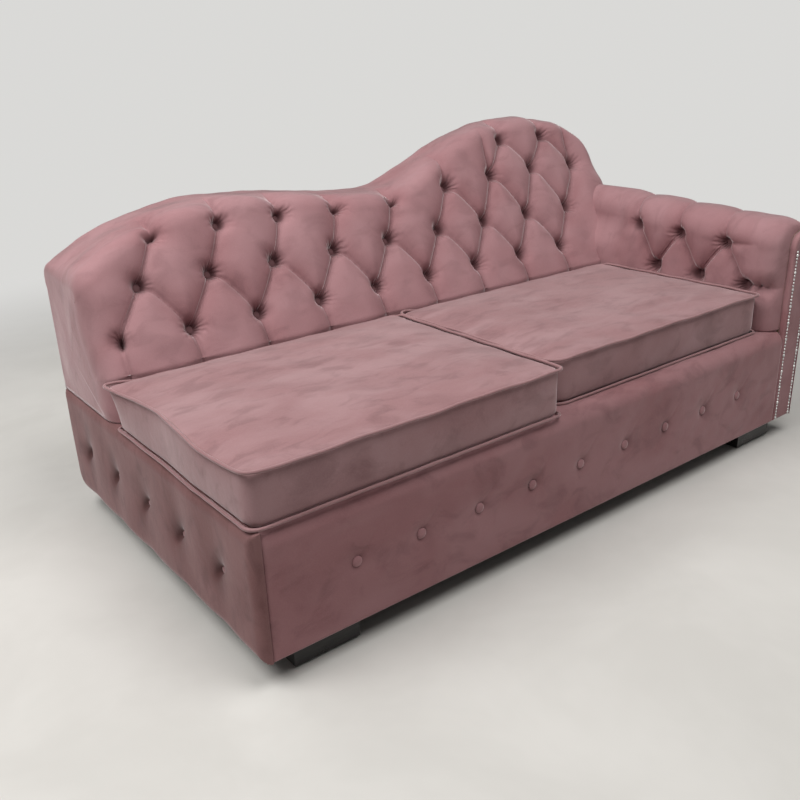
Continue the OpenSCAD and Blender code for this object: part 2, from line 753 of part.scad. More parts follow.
// The profile over x: crest, front and rear radius, how far up the face the front edge starts
// to turn, and how far it has turned
back_turn = 90 - lean_angle;
function profile_hub_y(f) = back_face(f[0]) + f[1] * tan(back_turn / 2);
function profile(x) =
    let (
        top = crest(x),
        fit = min(1, (couch_d - back_face(top)) / (top_round_r * tan(back_turn / 2) + rear_round_r)),
        r = top_round_r * fit,
        start = slope_s(top) - r * tan(back_turn / 2))
    [top, r, rear_round_r * fit, start, start + r * back_turn * PI / 180];

// Point and inward direction on the profile at a distance up from the seat: up the face, around
// the front edge, then back along the top
function profile_spot(x, s) =
    let (
        f = profile(x),
        turn = clamp01((s - f[3]) / (f[4] - f[3])) * back_turn,
        a = 180 - lean_angle - turn,
        hub = [profile_hub_y(f) + max(0, s - f[4]), f[0] - f[1]])
    s < f[3]
        ? [[back_y + s * sin(lean_angle), seat_z + s * cos(lean_angle)], [cos(lean_angle), -sin(lean_angle)]]
        : [hub + f[1] * [cos(a), sin(a)], [-cos(a), -sin(a)]];

// Point, inward direction, place along the face, depth share and length along the couch of each
// row of a column
tuft_low_share = 0.8;
tuft_high_share = 0.6;
face_pull_shares = [1, 1, 1, 1, 1, 1, 1, 1, 0.7, 0.35];
face_shift_shares = [0, 0, 0, 0, 0.5, 1, 0.8, 0.6, 0.3, 0];
function back_rows(x) =
    let (
        f = profile(x), top = f[0], rr = f[2],
        end = f[4] + (couch_d - rr - profile_hub_y(f)) / 2,
        s0 = slope_s(tuft_z(0, x)),
        s1 = min(slope_s(tuft_z(1, x)), lerp(s0, end, tuft_low_share)),
        s2 = min(slope_s(tuft_z(2, x)), lerp(s1, end, tuft_low_share)),
        s3 = min(slope_s(tuft_z(3, x)), lerp(s2, end, tuft_high_share)),
        face = [
            mid(0, s0), s0, mid(s0, s1), s1, mid(s1, s2), s2, mid(s2, s3), s3, mid(s3, end), end])
    concat(
        [for (z = [deck_z, mid(deck_z, seat_z), seat_z])
            [[back_y, z], [1, 0], z - seat_z, clamp01((z - deck_z) / cushion_t), x]],
        [for (i = [0:len(face) - 1])
            let (cx = x + tuft_shift(x) * face_shift_shares[i], p = profile_spot(cx, face[i]))
            [p[0], p[1], face[i], face_pull_shares[i], cx]],
        [[[couch_d - rr, top], [0, -1], 0, 0, x],
            [[couch_d - rr * (1 - sin(45)), top - rr * (1 - cos(45))], [-sin(45), -cos(45)], 0, 0, x],
            [[couch_d, top - rr], [-1, 0], 0, 0, x],
            [[couch_d, top - top_pad_t], [-1, 0], 0, 0, x]]);

function back_section(x) = [
    for (row = back_rows(x))
        let (
            place = [row[4], row[2]],
            pull = row[3] == 0 ? 0
                : row[3] * pull_depth(place, back_folds, back_spots, tuft_reach, tuft_pull, back_pad_t),
            drop = end_drop(x) * max(0, row[1][0]),
            p = row[0] + row[1] * (pull + drop))
        [row[4], p[0], p[1]]];

// Points of a section on the board that the pad lies on, from the deck up
back_inner_steps = 3;
function back_inner(x) = concat(
    [[x, kick_y, deck_z]],
    [for (k = [0:back_inner_steps])
        let (z = lerp(seat_z, board_crest(x), k / back_inner_steps)) [x, back_face(z) + back_pad_t, z]]);

// Inner point that each outer row of a section looks at
back_mates = [0, 0, 1, 1, 1, 2, 2, 3, 3, 4, 4, 4, 4, 4, 4, 4, 4];

// Closes the end of a loft whose outer rows each look at one inner point
function loft_cap(base, outer, mates, count, flip) = [
    for (i = [0:outer - 2])
        let (a = base + i, b = base + i + 1, m = base + count - 1 - mates[i], n = base + count - 1 - mates[i + 1])
        each concat(
            flip ? [[a, b, n]] : [[a, n, b]],
            m == n ? [] : flip ? [[a, n, m]] : [[a, m, n]])];

// Joins sections of equal length into one closed skin
module loft(sections, outer, mates)
    let (count = len(sections[0]), last = len(sections) - 1)
    polyhedron(
        points = [for (s = sections, p = s) p],
        faces = concat(
            [for (c = [0:last - 1]) each ring_faces(c * count, (c + 1) * count, count)],
            loft_cap(0, outer, mates, count, false),
            loft_cap(last * count, outer, mates, count, true)),
        convexity = 10);

back_sections = [for (x = back_columns) back_section(x)];

// The pad is two pieces of foam and cloth that meet in the dip of the crest
module back_piece(first, last) color(velvet)
    loft([for (i = [first:last])
            concat(back_sections[i], reversed(back_inner(back_columns[i])))],
        len(back_mates), back_mates);
back_join_share = 4.75;
back_join = column_at(back_columns, tuft_start + back_join_share * tuft_pitch);
module back_left_pad() back_piece(0, back_join);
module back_right_pad() back_piece(back_join, len(back_columns) - 1);

// Steepest rise from a pit over the triangle that it makes with two neighbours, each given as
// two offsets along the cloth and a height
function rim_slope(p, q) =
    let (
        det = p[0] * q[1] - p[1] * q[0],
        g = [p[2] * q[1] - q[2] * p[1], p[0] * q[2] - q[0] * p[2]] / det,
        inside = (p[0] * g[1] - p[1] * g[0]) * det >= 0 && (g[0] * q[1] - g[1] * q[0]) * det >= 0)
    inside ? norm(g) : max(p[2] / norm([p[0], p[1]]), q[2] / norm([q[0], q[1]]));

// How far a button's flat base stands out of its pit, so that its rim just clears the cloth
function button_lift(pit, in, along, around) =
    let (
        up = cross(in, along),
        near_by = [for (a = around) let (d = a - pit) [d * along, d * up, -(d * in)]],
        n = len(near_by))
    clear + button_d / 2 * max([for (i = [0:n - 1]) rim_slope(near_by[i], near_by[(i + 1) % n])]);

function around(sections, c, i, steps) = [for (s = steps) sections[c + s[0]][i + s[1]]];
function column_at(columns, x) = [for (i = [0:len(columns) - 1]) if (abs(columns[i] - x) < clear) i][0];

// Row of the pad that holds the first row of buttons, and the neighbours of a point on the pad
first_tuft_row = 4;
back_steps = [[1, 0], [0, 1], [-1, 1], [-1, 0], [0, -1], [1, -1]];

module back_buttons() color(velvet_dark)
    for (r = [0:tuft_rows - 1], p = back_tufts[r])
        let (
            c = column_at(back_columns, p[2]),
            i = first_tuft_row + 2 * r,
            pit = back_sections[c][i],
            way = profile_spot(p[0], slope_s(p[1]))[1],
            in = [0, way[0], way[1]],
            lift = button_lift(pit, in, [1, 0, 0], around(back_sections, c, i, back_steps)))
        translate(pit - in * lift) rotate([atan2(way[0], -way[1]), 0, 0]) button(button_t);

/* Arm pad: one section after another, from the front to the back */
arm_tuft_seat_gap = 3.7;
arm_tuft_low_h = seat_z + arm_tuft_seat_gap;
arm_tuft_rise = 107;
arm_tuft_rear_room = 100;
arch_steps = 8;
arm_front_share = 0.12;
arm_front_reach = 60;
arm_pad_y0 = front_y + facing_t + clear;
arm_bend_room = 50;
arm_bend_y = back_y - arm_bend_room;
arm_fade_shares = [1, 0.9, 0.6, 0.35, 0.15, 0, 0, 0, 0];
arm_reach_share = 0.28;
arm_pull_share = 0.125;
arm_tuft_reach = arm_tuft_pitch * arm_reach_share;
arm_tuft_pull = arm_tuft_pitch * arm_pull_share;

// Rows on the flat of the arm: height at the front and slope towards the rear
function wall_slope(z) = arm_slope * clamp01((z - deck_z) / (arm_z1 - deck_z));
arm_strip_h = mid(deck_z, arm_tuft_low_h);
arm_wall_rows = concat(
    [[deck_z, 0], [arm_strip_h, (seat_z - arm_strip_h) / back_y]],
    [for (step = [0, 0.5, 1])
        let (z = arm_tuft_low_h + arm_tuft_rise * step) [z, wall_slope(z)]]);
arm_low_row = 2;
arm_high_row = 4;

function arm_tuft_row(start, h) = [
    for (k = [0:ceil(seat_d / arm_tuft_pitch)])
        let (y = start + k * arm_tuft_pitch) if (y < back_y - arm_tuft_rear_room) [y, h]];
arm_low_tufts = arm_tuft_row(arm_tuft_start - arm_tuft_pitch / 2, arm_tuft_low_h);
arm_high_tufts = arm_tuft_row(arm_tuft_start, arm_tuft_low_h + arm_tuft_rise);
arm_spots = concat(arm_low_tufts, arm_high_tufts);
arm_folds = concat(
    [for (p = arm_low_tufts) [p, [p[0], 0]]],
    [for (p = arm_low_tufts, q = arm_high_tufts)
        if (abs(p[0] - q[0]) < arm_tuft_pitch * tuft_near_share) [p, q]],
    [for (p = arm_high_tufts) [p, p + [0, arm_w * 2]]]);

// Thickness of the padding around the arch, from the inside over the top to the outside
function arch_t(a) = lerp(arm_top_pad_t, a < 90 ? arm_pad_t : outer_cover_t, pow(cos(a), 2));
function arm_swell(y) = lerp(arm_front_share, 1, pillow(y - arm_pad_y0, arm_front_reach));

// Share of the way from the last upright column to the leaning face of the back
function bend_share(c) = clamp01((c - arm_bend_y) / (back_y - arm_bend_y));

// Y and Z of a line along the arm that starts at height z and climbs at slope
function arm_line(c, z, slope) =
    let (y = lerp(min(c, arm_bend_y), meet_y(z, slope), bend_share(c))) [y, z + slope * y];

// Skin point over a core point: x, start height and slope of the core line, way in, padding
// there, place on the cloth, and how strongly it is pulled
function arm_skin(c, x, z, slope, in, t, place, share) =
    let (
        pull = share == 0 ? 0
            : share * pull_depth(place, arm_folds, arm_spots, arm_tuft_reach, arm_tuft_pull, arm_pad_t),
        way = -in * (t - pull) * arm_swell(c),
        line = arm_line(c, z, slope),
        lean = line[1] > seat_z ? back_lean * bend_share(c) : 0)
    [x + way[0], line[0] + lean * way[1], line[1] + way[1]];

function arm_core(c, x, z, slope) = let (line = arm_line(c, z, slope)) [x, line[0], line[1]];

function arm_section(c) =
    let (r_in = (arm_r + clear) / cos(90 / arch_steps))
    concat(
        [for (row = arm_wall_rows)
            arm_skin(c, arm_x, row[0], row[1], [1, 0], arm_pad_t, [c, row[0]],
                clamp01((row[0] - deck_z) / cushion_t))],
        [for (i = [1:arch_steps])
            let (a = 180 * i / arch_steps, t = arch_t(a), in = [cos(a), -sin(a)])
            arm_skin(c, arm_mid_x - arm_r * in[0], arm_z1 - arm_r * in[1], arm_slope, in, t,
                [c, arm_z1 + (arm_r + t) * a * PI / 180], arm_fade_shares[i])],
        [for (i = [arch_steps:-1:0])
            let (a = 180 * i / arch_steps)
            arm_core(c, arm_mid_x - r_in * cos(a), arm_z1 + r_in * sin(a), arm_slope)],
        [for (z = [seat_z, deck_z]) arm_core(c, arm_x - clear, z, 0)]);

arm_mates = concat([0, 0, 1, 1, 2], [for (i = [1:arch_steps]) i + 2]);
arm_columns = concat(
    [for (share = [0, 0.1, 0.3, 0.6]) arm_pad_y0 + share * arm_front_reach],
    [for (j = [-2:floor((arm_bend_y - arm_tuft_start) / (arm_tuft_pitch / 4))])
        arm_tuft_start + j * arm_tuft_pitch / 4],
    [(arm_bend_y + back_y) / 2, back_y]);

arm_sections = [for (c = arm_columns) arm_section(c)];

module arm_pad() color(velvet_pale) loft(reversed(arm_sections), len(arm_mates), arm_mates);

arm_steps = [[0, 1], [1, 1], [1, 0], [0, -1], [-1, -1], [-1, 0]];

module arm_button_row(tufts, i) for (p = tufts)
    let (
        c = column_at(arm_columns, p[0]),
        pit = arm_sections[c][i],
        lift = button_lift(pit, [1, 0, 0], [0, 1, 0], around(arm_sections, c, i, arm_steps)))
    translate(pit - [lift, 0, 0]) rotate([0, -90, 0]) button(button_t);

module arm_buttons() color(velvet_dark) {
    arm_button_row(arm_low_tufts, arm_low_row);
    arm_button_row(arm_high_tufts, arm_high_row);
}

/* Seat cushions */
piping_r = piping_d / 2;
cover_inset = piping_d + clear;
core_inset = 30;
core_wall = 6;
corner_steps = 4;
zip_h = 12;
zip_t = 1.5;
zip_share = 0.5;
slider_w = 8;
slider_t = 3;
side_draw_shares = [0, 0.8, 1, 1, 0.8, 0];
side_height_shares = [0, 0.2, 0.4, 0.6, 0.8, 1];
crown_shares = [0.985, 0.94, 0.85, 0.7, 0.5, 0.28];
long_steps = 10;
short_steps = 8;

// Quarter of a rounded corner around c, from angle a0 down
function corner(c, r, a0) = [
    for (i = [0:corner_steps]) let (a = a0 - 90 * i / corner_steps) c + r * [cos(a), sin(a)]];

// Points between a and b, without their ends
function between(a, b, steps) = [for (i = [1:steps - 1]) lerp(a, b, i / steps)];

// Outline of a cushion, with the clock from its right side
function cushion_outline(w, d, r) =
    let (
        a = w / 2 - r, b = d / 2 - r,
        c = [corner([a, -b], r, 0), corner([-a, -b], r, 270), corner([-a, b], r, 180), corner([a, b], r, 90)])
    concat(
        c[0], between(c[0][corner_steps], c[1][0], long_steps),
        c[1], between(c[1][corner_steps], c[2][0], short_steps),
        c[2], between(c[2][corner_steps], c[3][0], long_steps),
        c[3], between(c[3][corner_steps], c[0][0], short_steps));

// A point of the outline, drawn in by amount where it is away from the corners
function drawn_in(p, w, d, amount) =
    let (u = clamp01(abs(2 * p[0] / w)), v = clamp01(abs(2 * p[1] / d)))
    [p[0] - sign(p[0]) * amount * pow(u, 12) * (1 - pow(v, 8)),
        p[1] - sign(p[1]) * amount * pow(v, 12) * (1 - pow(u, 8))];

function at_height(ring, z) = [for (p = ring) [p[0], p[1], z]];

// A crowned cover with drawn-in sides, w wide and d deep between its piped edges
module cushion_form(w, d)
    let (
        seam_w = w - 2 * cover_inset, seam_d = d - 2 * cover_inset,
        seam = cushion_outline(seam_w, seam_d, cushion_corner_r - cover_inset),
        count = len(seam),
        sides = [
            for (i = [0:len(side_height_shares) - 1])
                at_height(
                    [for (p = seam) drawn_in(p, seam_w, seam_d, side_draw * side_draw_shares[i])],
                    cushion_t * side_height_shares[i])],
        tops = [for (s = crown_shares) at_height(seam * s, cushion_t + cushion_crown * (1 - pow(s, 3)))],
        rings = concat([at_height(seam / 2, 0)], sides, tops),
        last = len(rings) * count)
    polyhedron(
        points = concat(
            [for (ring = rings, p = ring) p], [[0, 0, cushion_t + cushion_crown], [0, 0, 0]]),
        faces = concat(
            [for (k = [0:len(rings) - 2]) each ring_faces(k * count, (k + 1) * count, count)],
            [for (i = [0:count - 1]) [last - count + i, last - count + (i + 1) % count, last]],
            [for (i = [0:count - 1]) [(i + 1) % count, i, last + 1]]),
        convexity = 6);

// Middle of a cushion's underside
function cushion_mid(x0, y0, w, d) = [x0 + w / 2, y0 + d / 2, cushion_z];

module core_block(w, d, room)
    box([core_inset - w / 2 - room, core_inset - d / 2 - room, core_wall],
        [w / 2 - core_inset + room, d / 2 - core_inset + room, cushion_t - core_wall + room]);

module cushion_cover(w, d) difference() {
    cushion_form(w, d);
    core_block(w, d, clear);
}

module piping_loop(w, d) let (r = cushion_corner_r - piping_r, a = w / 2 - piping_r - r, b = d / 2 - piping_r - r) {
    for (sx = [0, 1], sy = [0, 1]) mirror([sx, 0, 0]) mirror([0, sy, 0])
        translate([a, b, 0]) rotate_extrude(angle = 90) translate([r, 0]) circle(r = piping_r, $fn = 16);
    for (s = [-1, 1]) {
        translate([-a, s * (b + r), 0]) rotate([0, 90, 0]) cylinder(h = 2 * a, r = piping_r, $fn = 16);
        translate([s * (a + r), b, 0]) rotate([90, 0, 0]) cylinder(h = 2 * b, r = piping_r, $fn = 16);
    }
}

module piping(w, d)
    for (z = [piping_r, cushion_t - piping_r]) translate([0, 0, z]) piping_loop(w, d);

// Zip in the flat band at the back of a cover, with its slider at one end
module zip(w, d) let (y = d / 2 - cover_inset - side_draw + clear) {
    translate([-w * zip_share / 2, y, (cushion_t - zip_h) / 2]) cube([w * zip_share, zip_t, zip_h]);
    translate([w * zip_share / 2 - slider_w, y + zip_t, (cushion_t - slider_w) / 2])
        cube([slider_w, slider_t, slider_w]);
}

left_front = front_y;
right_front = front_y + right_setback;
left_d = seat_d - left_front;
right_d = seat_d - right_front;
left_mid = cushion_mid(0, left_front, left_cushion_w, left_d);
right_mid = cushion_mid(right_cushion_x, right_front, right_cushion_w, right_d);

module left_cushion_cover() color(velvet) translate(left_mid) cushion_cover(left_cushion_w, left_d);
module left_cushion_core() color(foam) translate(left_mid) core_block(left_cushion_w, left_d, 0);
module left_piping() color(velvet_dark) translate(left_mid) piping(left_cushion_w, left_d);
module left_zip() color(steel) translate(left_mid) zip(left_cushion_w, left_d);
module right_cushion_cover() color(velvet) translate(right_mid) cushion_cover(right_cushion_w, right_d);
module right_cushion_core() color(foam) translate(right_mid) core_block(right_cushion_w, right_d, 0);
module right_piping() color(velvet_dark) translate(right_mid) piping(right_cushion_w, right_d);
module right_zip() color(steel) translate(right_mid) zip(right_cushion_w, right_d);

in_place() feet();
in_place() foot_glides();
in_place() foot_plates();
in_place() foot_bolts();
in_place() front_rail();
in_place() rear_rail();
in_place() left_rail();
in_place() right_rail();
in_place() spring_rail();
in_place() back_bearer();
in_place() cross_rails();
in_place() corner_blocks();
in_place() zigzag_springs();
in_place() spring_clips();
in_place() deck_felt();
in_place() deck_pad();
in_place() dust_cover();
in_place() front_panel();
in_place() front_buttons();
in_place() side_panel();
in_place() side_buttons();
in_place() arm_inner_board();
in_place() arm_outer_board();
in_place() arm_posts();
in_place() arm_top_former();
in_place() arm_pad();
in_place() arm_buttons();
in_place() arm_outer_panel();
in_place() arm_facing();
in_place() nail_strips();
in_place() trim_nails();
in_place() arm_bolts();
in_place() back_base_rails();
in_place() back_ribs();
in_place() back_kick_board();
in_place() back_front_board();
in_place() back_top_board();
in_place() back_rear_board();
in_place() back_left_pad();
in_place() back_right_pad();
in_place() back_buttons();
in_place() back_left_end();
in_place() back_right_end();
in_place() rear_cover();
in_place() back_bolts();
in_place() left_cushion_cover();
in_place() left_cushion_core();
in_place() left_piping();
in_place() left_zip();
in_place() right_cushion_cover();
in_place() right_cushion_core();
in_place() right_piping();
in_place() right_zip();
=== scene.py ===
import math

import bpy
import numpy as np
from mathutils import Matrix, Vector


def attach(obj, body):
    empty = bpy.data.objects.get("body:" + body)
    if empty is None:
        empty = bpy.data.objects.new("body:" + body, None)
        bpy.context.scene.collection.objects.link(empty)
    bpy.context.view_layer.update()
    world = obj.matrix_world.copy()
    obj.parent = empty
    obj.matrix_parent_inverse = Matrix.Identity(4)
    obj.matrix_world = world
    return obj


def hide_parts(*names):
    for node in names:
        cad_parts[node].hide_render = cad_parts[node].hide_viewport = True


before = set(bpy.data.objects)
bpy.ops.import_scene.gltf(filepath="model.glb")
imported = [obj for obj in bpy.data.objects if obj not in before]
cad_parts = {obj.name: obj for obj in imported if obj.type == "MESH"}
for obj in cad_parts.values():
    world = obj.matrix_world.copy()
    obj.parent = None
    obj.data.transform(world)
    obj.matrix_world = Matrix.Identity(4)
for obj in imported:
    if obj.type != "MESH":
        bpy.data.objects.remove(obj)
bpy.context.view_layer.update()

# Shapes are worked out in millimetres from the couch's front left corner on the floor.
mm = 0.001
couch = dict(
    w=1870.0, d=1030.0, crown=922.0, deck=346.0, base=58.0, seat=466.3, lean=0.58, topDepth=112.7,
    cover=8.0, armX=1770.0, armMid=1817.0, armR=47.0, armZ=585.0, armSlope=0.055, armPad=65.0,
    armTop=25.0, facing=19.0, front=3.0, panel=22.0)
couch["back"] = (
    couch["d"] - couch["cover"] - couch["topDepth"] - couch["lean"] * (couch["crown"] - couch["seat"]))
leanAngle = math.atan(couch["lean"])
turnAngle = math.pi / 2 - leanAngle
corner = np.array([couch["w"] / 2, couch["d"] / 2, 0.0])
root = "couch_frame"


# Millimetres from the corner to the frame's metres: the corner is taken off, and the rest scaled
def toScene(points):
    return (np.asarray(points, float) - corner) * mm


# A straight mix: a where t is 0, b where t is 1
def lerp(a, b, t):
    return a + (b - a) * t


# An eased step: 3 t squared less 2 t cubed between 0 and 1, flat outside
def smooth(t):
    t = np.clip(t, 0, 1)
    return t * t * (3 - 2 * t)


# An eased step that begins at start and takes length to rise from 0 to 1
def rise(x, start, length):
    return smooth((x - start) / length)


# The height of a quarter circle: the root of 1 less the square of 1 - t, flat from t = 1 on
def quarter(t):
    return np.sqrt(1 - (1 - np.clip(t, 0, 1)) ** 2)


# Even angles round a full circle
def circle(count):
    return np.linspace(0, 2 * math.pi, count, endpoint=False)


# Slow, seeded unevenness: the sum of sine waves of random direction, length and phase, over the
# root of their count
def waves(a, b, length, seed, count=7):
    rng = np.random.default_rng(seed)
    total = np.zeros(np.broadcast(a, b).shape)
    for _ in range(count):
        turn, phase = rng.uniform(0, 2 * math.pi, 2)
        size = length * rng.uniform(0.7, 1.5)
        total += np.sin(2 * math.pi * (a * math.cos(turn) + b * math.sin(turn)) / size + phase)
    return total / math.sqrt(count)


# Unevenness of several kinds: the sum of waves, each with its own length, seed and size
def uneven(a, b, *kinds):
    return sum(size * waves(a, b, length, seed) for length, seed, size in kinds)


# Meshes
# Quads between neighbours in a grid of points, numbered along each row: corner i, j is i cols + j
def gridFaces(rows, cols, closeRows=False, closeCols=False, first=0):
    i = np.arange(rows if closeRows else rows - 1)[:, None]
    j = np.arange(cols if closeCols else cols - 1)[None, :]
    a, b = (i + 1) % rows, (j + 1) % cols
    quads = np.stack([i * cols + j, a * cols + j, a * cols + b, i * cols + b], -1)
    return (quads.reshape(-1, 4) + first).tolist()


# Triangles from each edge of a ring to one middle point
def fanFaces(ring, middle):
    return np.stack([ring, np.roll(ring, -1), np.full(len(ring), middle)], -1).tolist()


# Grid of rings closed by a fan at either end, turned so that it faces outwards
def shellFaces(points, rows, cols):
    faces = gridFaces(rows, cols, closeCols=True)
    faces += fanFaces(np.arange(cols), rows * cols)
    faces += fanFaces(np.arange(cols)[::-1] + (rows - 1) * cols, rows * cols + 1)
    return outward(points, faces)


# Faces turned round where their signed volume is negative
def outward(points, faces, first=0):
    triangles = np.array([(f[0], f[k], f[k + 1]) for f in faces for k in range(1, len(f) - 1)])
    a, b, c = (points[triangles[:, k]] - points[0] for k in range(3))
    if np.einsum("ij,ij->i", a, np.cross(b, c)).sum() < 0:
        faces = [f[::-1] for f in faces]
    return (np.array(faces) + first).tolist() if first else faces


# A smooth mesh object from points in millimetres, with an attribute for each entry of values
def makeMesh(name, points, faces, values=None):
    mesh = bpy.data.meshes.new(name)
    mesh.from_pydata(toScene(points).tolist(), [], faces)
    mesh.polygons.foreach_set("use_smooth", np.ones(len(mesh.polygons), bool))
    for key, data in (values or {}).items():
        data = np.asarray(data, np.float32)
        kind, field = ("FLOAT_VECTOR", "vector") if data.ndim == 2 else ("FLOAT", "value")
        mesh.attributes.new(key, kind, "POINT").data.foreach_set(field, data.ravel())
    mesh.validate()
    mesh.update()
    piece = bpy.data.objects.new(name, mesh)
    bpy.context.scene.collection.objects.link(piece)
    return piece


# A closed skin over rings of equal length, with both ends drawn to a middle point
def makeTube(name, rings, ends, values=None):
    rows, cols = rings.shape[:2]
    points = np.concatenate([rings.reshape(-1, 3), ends])
    faces = shellFaces(points, rows, cols)
    if values:
        values = {
            k: np.concatenate([v.reshape((rows * cols,) + v.shape[2:]), v[[0, -1]].mean(1)])
            for k, v in values.items()}
    return makeMesh(name, points, faces, values)


# Gives a piece its material and body, hides the CAD nodes that it stands for, and prints how many points it
# has
def finishPiece(piece, body, material, nodes=()):
    piece.data.materials.append(material)
    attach(piece, body)
    if nodes:
        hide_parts(*nodes)
    print("piece", piece.name, len(piece.data.vertices), "points", flush=True)


# Materials
# A new material with its node tree and its surface shader
def newMaterial(name):
    material = bpy.data.materials.new(name)
    material.use_nodes = True
    tree = material.node_tree
    return material, tree, tree.nodes["Principled BSDF"]


# A node with its settings; an input is linked where it is another node's output, and set elsewhere
def addNode(tree, kind, inputs=None, **settings):
    node = tree.nodes.new(kind)
    for key, value in settings.items():
        setattr(node, key, value)
    for key, value in (inputs or {}).items():
        if isinstance(value, bpy.types.NodeSocket):
            tree.links.new(value, node.inputs[key])
        else:
            node.inputs[key].default_value = value
    return node


# The object's own coordinates in metres
def objectPlace(tree):
    return addNode(tree, "ShaderNodeTexCoord").outputs["Object"]


# Those coordinates turned and scaled, so that a pattern on them is drawn out one way
def stretchedPlace(tree, scale, turn=(0.0, 0.0, 0.0)):
    return addNode(tree, "ShaderNodeMapping", {
        "Vector": objectPlace(tree), "Rotation": turn, "Scale": scale}).outputs["Vector"]


# Fractal noise between 0 and 1, with scale spots to a metre
def noise(tree, scale, detail=2.0, rough=0.5, distort=0.0, coords=None):
    return addNode(tree, "ShaderNodeTexNoise", {
        "Vector": coords or objectPlace(tree), "Scale": scale, "Detail": detail, "Roughness": rough,
        "Distortion": distort}).outputs["Fac"]


# An eased step from outLow where value is low to outHigh where it is high
def ramp(tree, value, low, high, outLow=0.0, outHigh=1.0):
    return addNode(tree, "ShaderNodeMapRange", {
        "Value": value, "From Min": low, "From Max": high, "To Min": outLow, "To Max": outHigh},
        interpolation_type="SMOOTHSTEP").outputs["Result"]


# Color a mixed with color b by fac
def mixColor(tree, fac, a, b):
    node = addNode(tree, "ShaderNodeMix", {"Factor": fac}, data_type="RGBA")
    for key, value in ((6, a), (7, b)):
        if isinstance(value, bpy.types.NodeSocket):
            tree.links.new(value, node.inputs[key])
        else:
            node.inputs[key].default_value = (*value, 1)
    return node.outputs[2]


# One sum on one or two values
def calc(tree, operation, *values):
    return addNode(tree, "ShaderNodeMath", dict(enumerate(values)), operation=operation).outputs[0]


# A mesh attribute, read at each point
def attribute(tree, name, output="Fac"):
    return addNode(tree, "ShaderNodeAttribute", attribute_name=name).outputs[output]


# A normal tilted by a height, on top of the bump that came before
def bump(tree, height, strength, distance, before=None):
    inputs = {"Height": height, "Strength": strength, "Distance": distance}
    if before:
        inputs["Normal"] = before
    return addNode(tree, "ShaderNodeBump", inputs).outputs["Normal"]


# Short wrinkles that fan out of each button, more on some sides than on others: the sine of 12
# times the angle round it, swirled by noise, between two reaches; then fine pleats beside the steep
# folds, the cosine of the distance to the fold
def puckerBump(tree, normal):
    place = addNode(tree, "ShaderNodeSeparateXYZ", {"Vector": attribute(tree, "tuft", "Vector")})
    turn = calc(tree, "ARCTAN2", place.outputs["Y"], place.outputs["X"])
    swirl = calc(tree, "MULTIPLY", noise(tree, 19.0, 2.0, 0.5), 13.0)
    ripple = calc(tree, "SINE", calc(tree, "ADD", calc(tree, "MULTIPLY", turn, 12.0), swirl))
    reach = attribute(tree, "reach")
    near, far = ramp(tree, reach, 0.009, 0.017), ramp(tree, reach, 0.022, 0.052, 1.0, 0.0)
    some = ramp(tree, noise(tree, 15.0, 1.0, 0.5), 0.42, 0.60)
    where = calc(tree, "MULTIPLY", some, calc(tree, "MULTIPLY", near, far))
    normal = bump(tree, calc(tree, "MULTIPLY", ripple, where), 0.5, 0.0015, normal)
    lines = calc(tree, "COSINE", calc(tree, "MULTIPLY", attribute(tree, "pleat"), 1050.0))
    closeBy = ramp(tree, attribute(tree, "beside"), 0.004, 0.014, 1.0, 0.0)
    return bump(tree, calc(tree, "MULTIPLY", lines, closeBy), 0.5, 0.0013, normal)


velvetLook = dict(
    deep=(0.110, 0.046, 0.051), base=(0.300, 0.147, 0.158), pale=(0.430, 0.258, 0.275),
    rough=0.82, sheen=0.80, sheenRough=0.33, sheenTint=(1.0, 0.90, 0.92))
# The cushions' copy is paler and greyer, painted sheen of their lit tops; the base's is a little darker; the
# pits' and the end panel's copies are darker, painted shade
seatSheenLook = dict(
    velvetLook, deep=(0.120, 0.056, 0.059), base=(0.290, 0.156, 0.163), pale=(0.425, 0.278, 0.290),
    sheen=0.66, sheenRough=0.36, sheenTint=(1.0, 0.94, 0.96))
bodyLook = dict(velvetLook, base=(0.272, 0.127, 0.135), pale=(0.385, 0.222, 0.235), sheen=0.62)
# Painted shade: a darker copy of the velvet for the buttons down in the back's and arm's pits
pitShadeLook = dict(velvetLook, base=(0.150, 0.070, 0.076), pale=(0.230, 0.130, 0.138), sheen=0.40)
# Painted shade: a much darker copy of the velvet for the side panel at the left end
sideShadeLook = dict(
    velvetLook, deep=(0.076, 0.032, 0.032), base=(0.190, 0.090, 0.090), pale=(0.285, 0.158, 0.160),
    sheen=0.34)
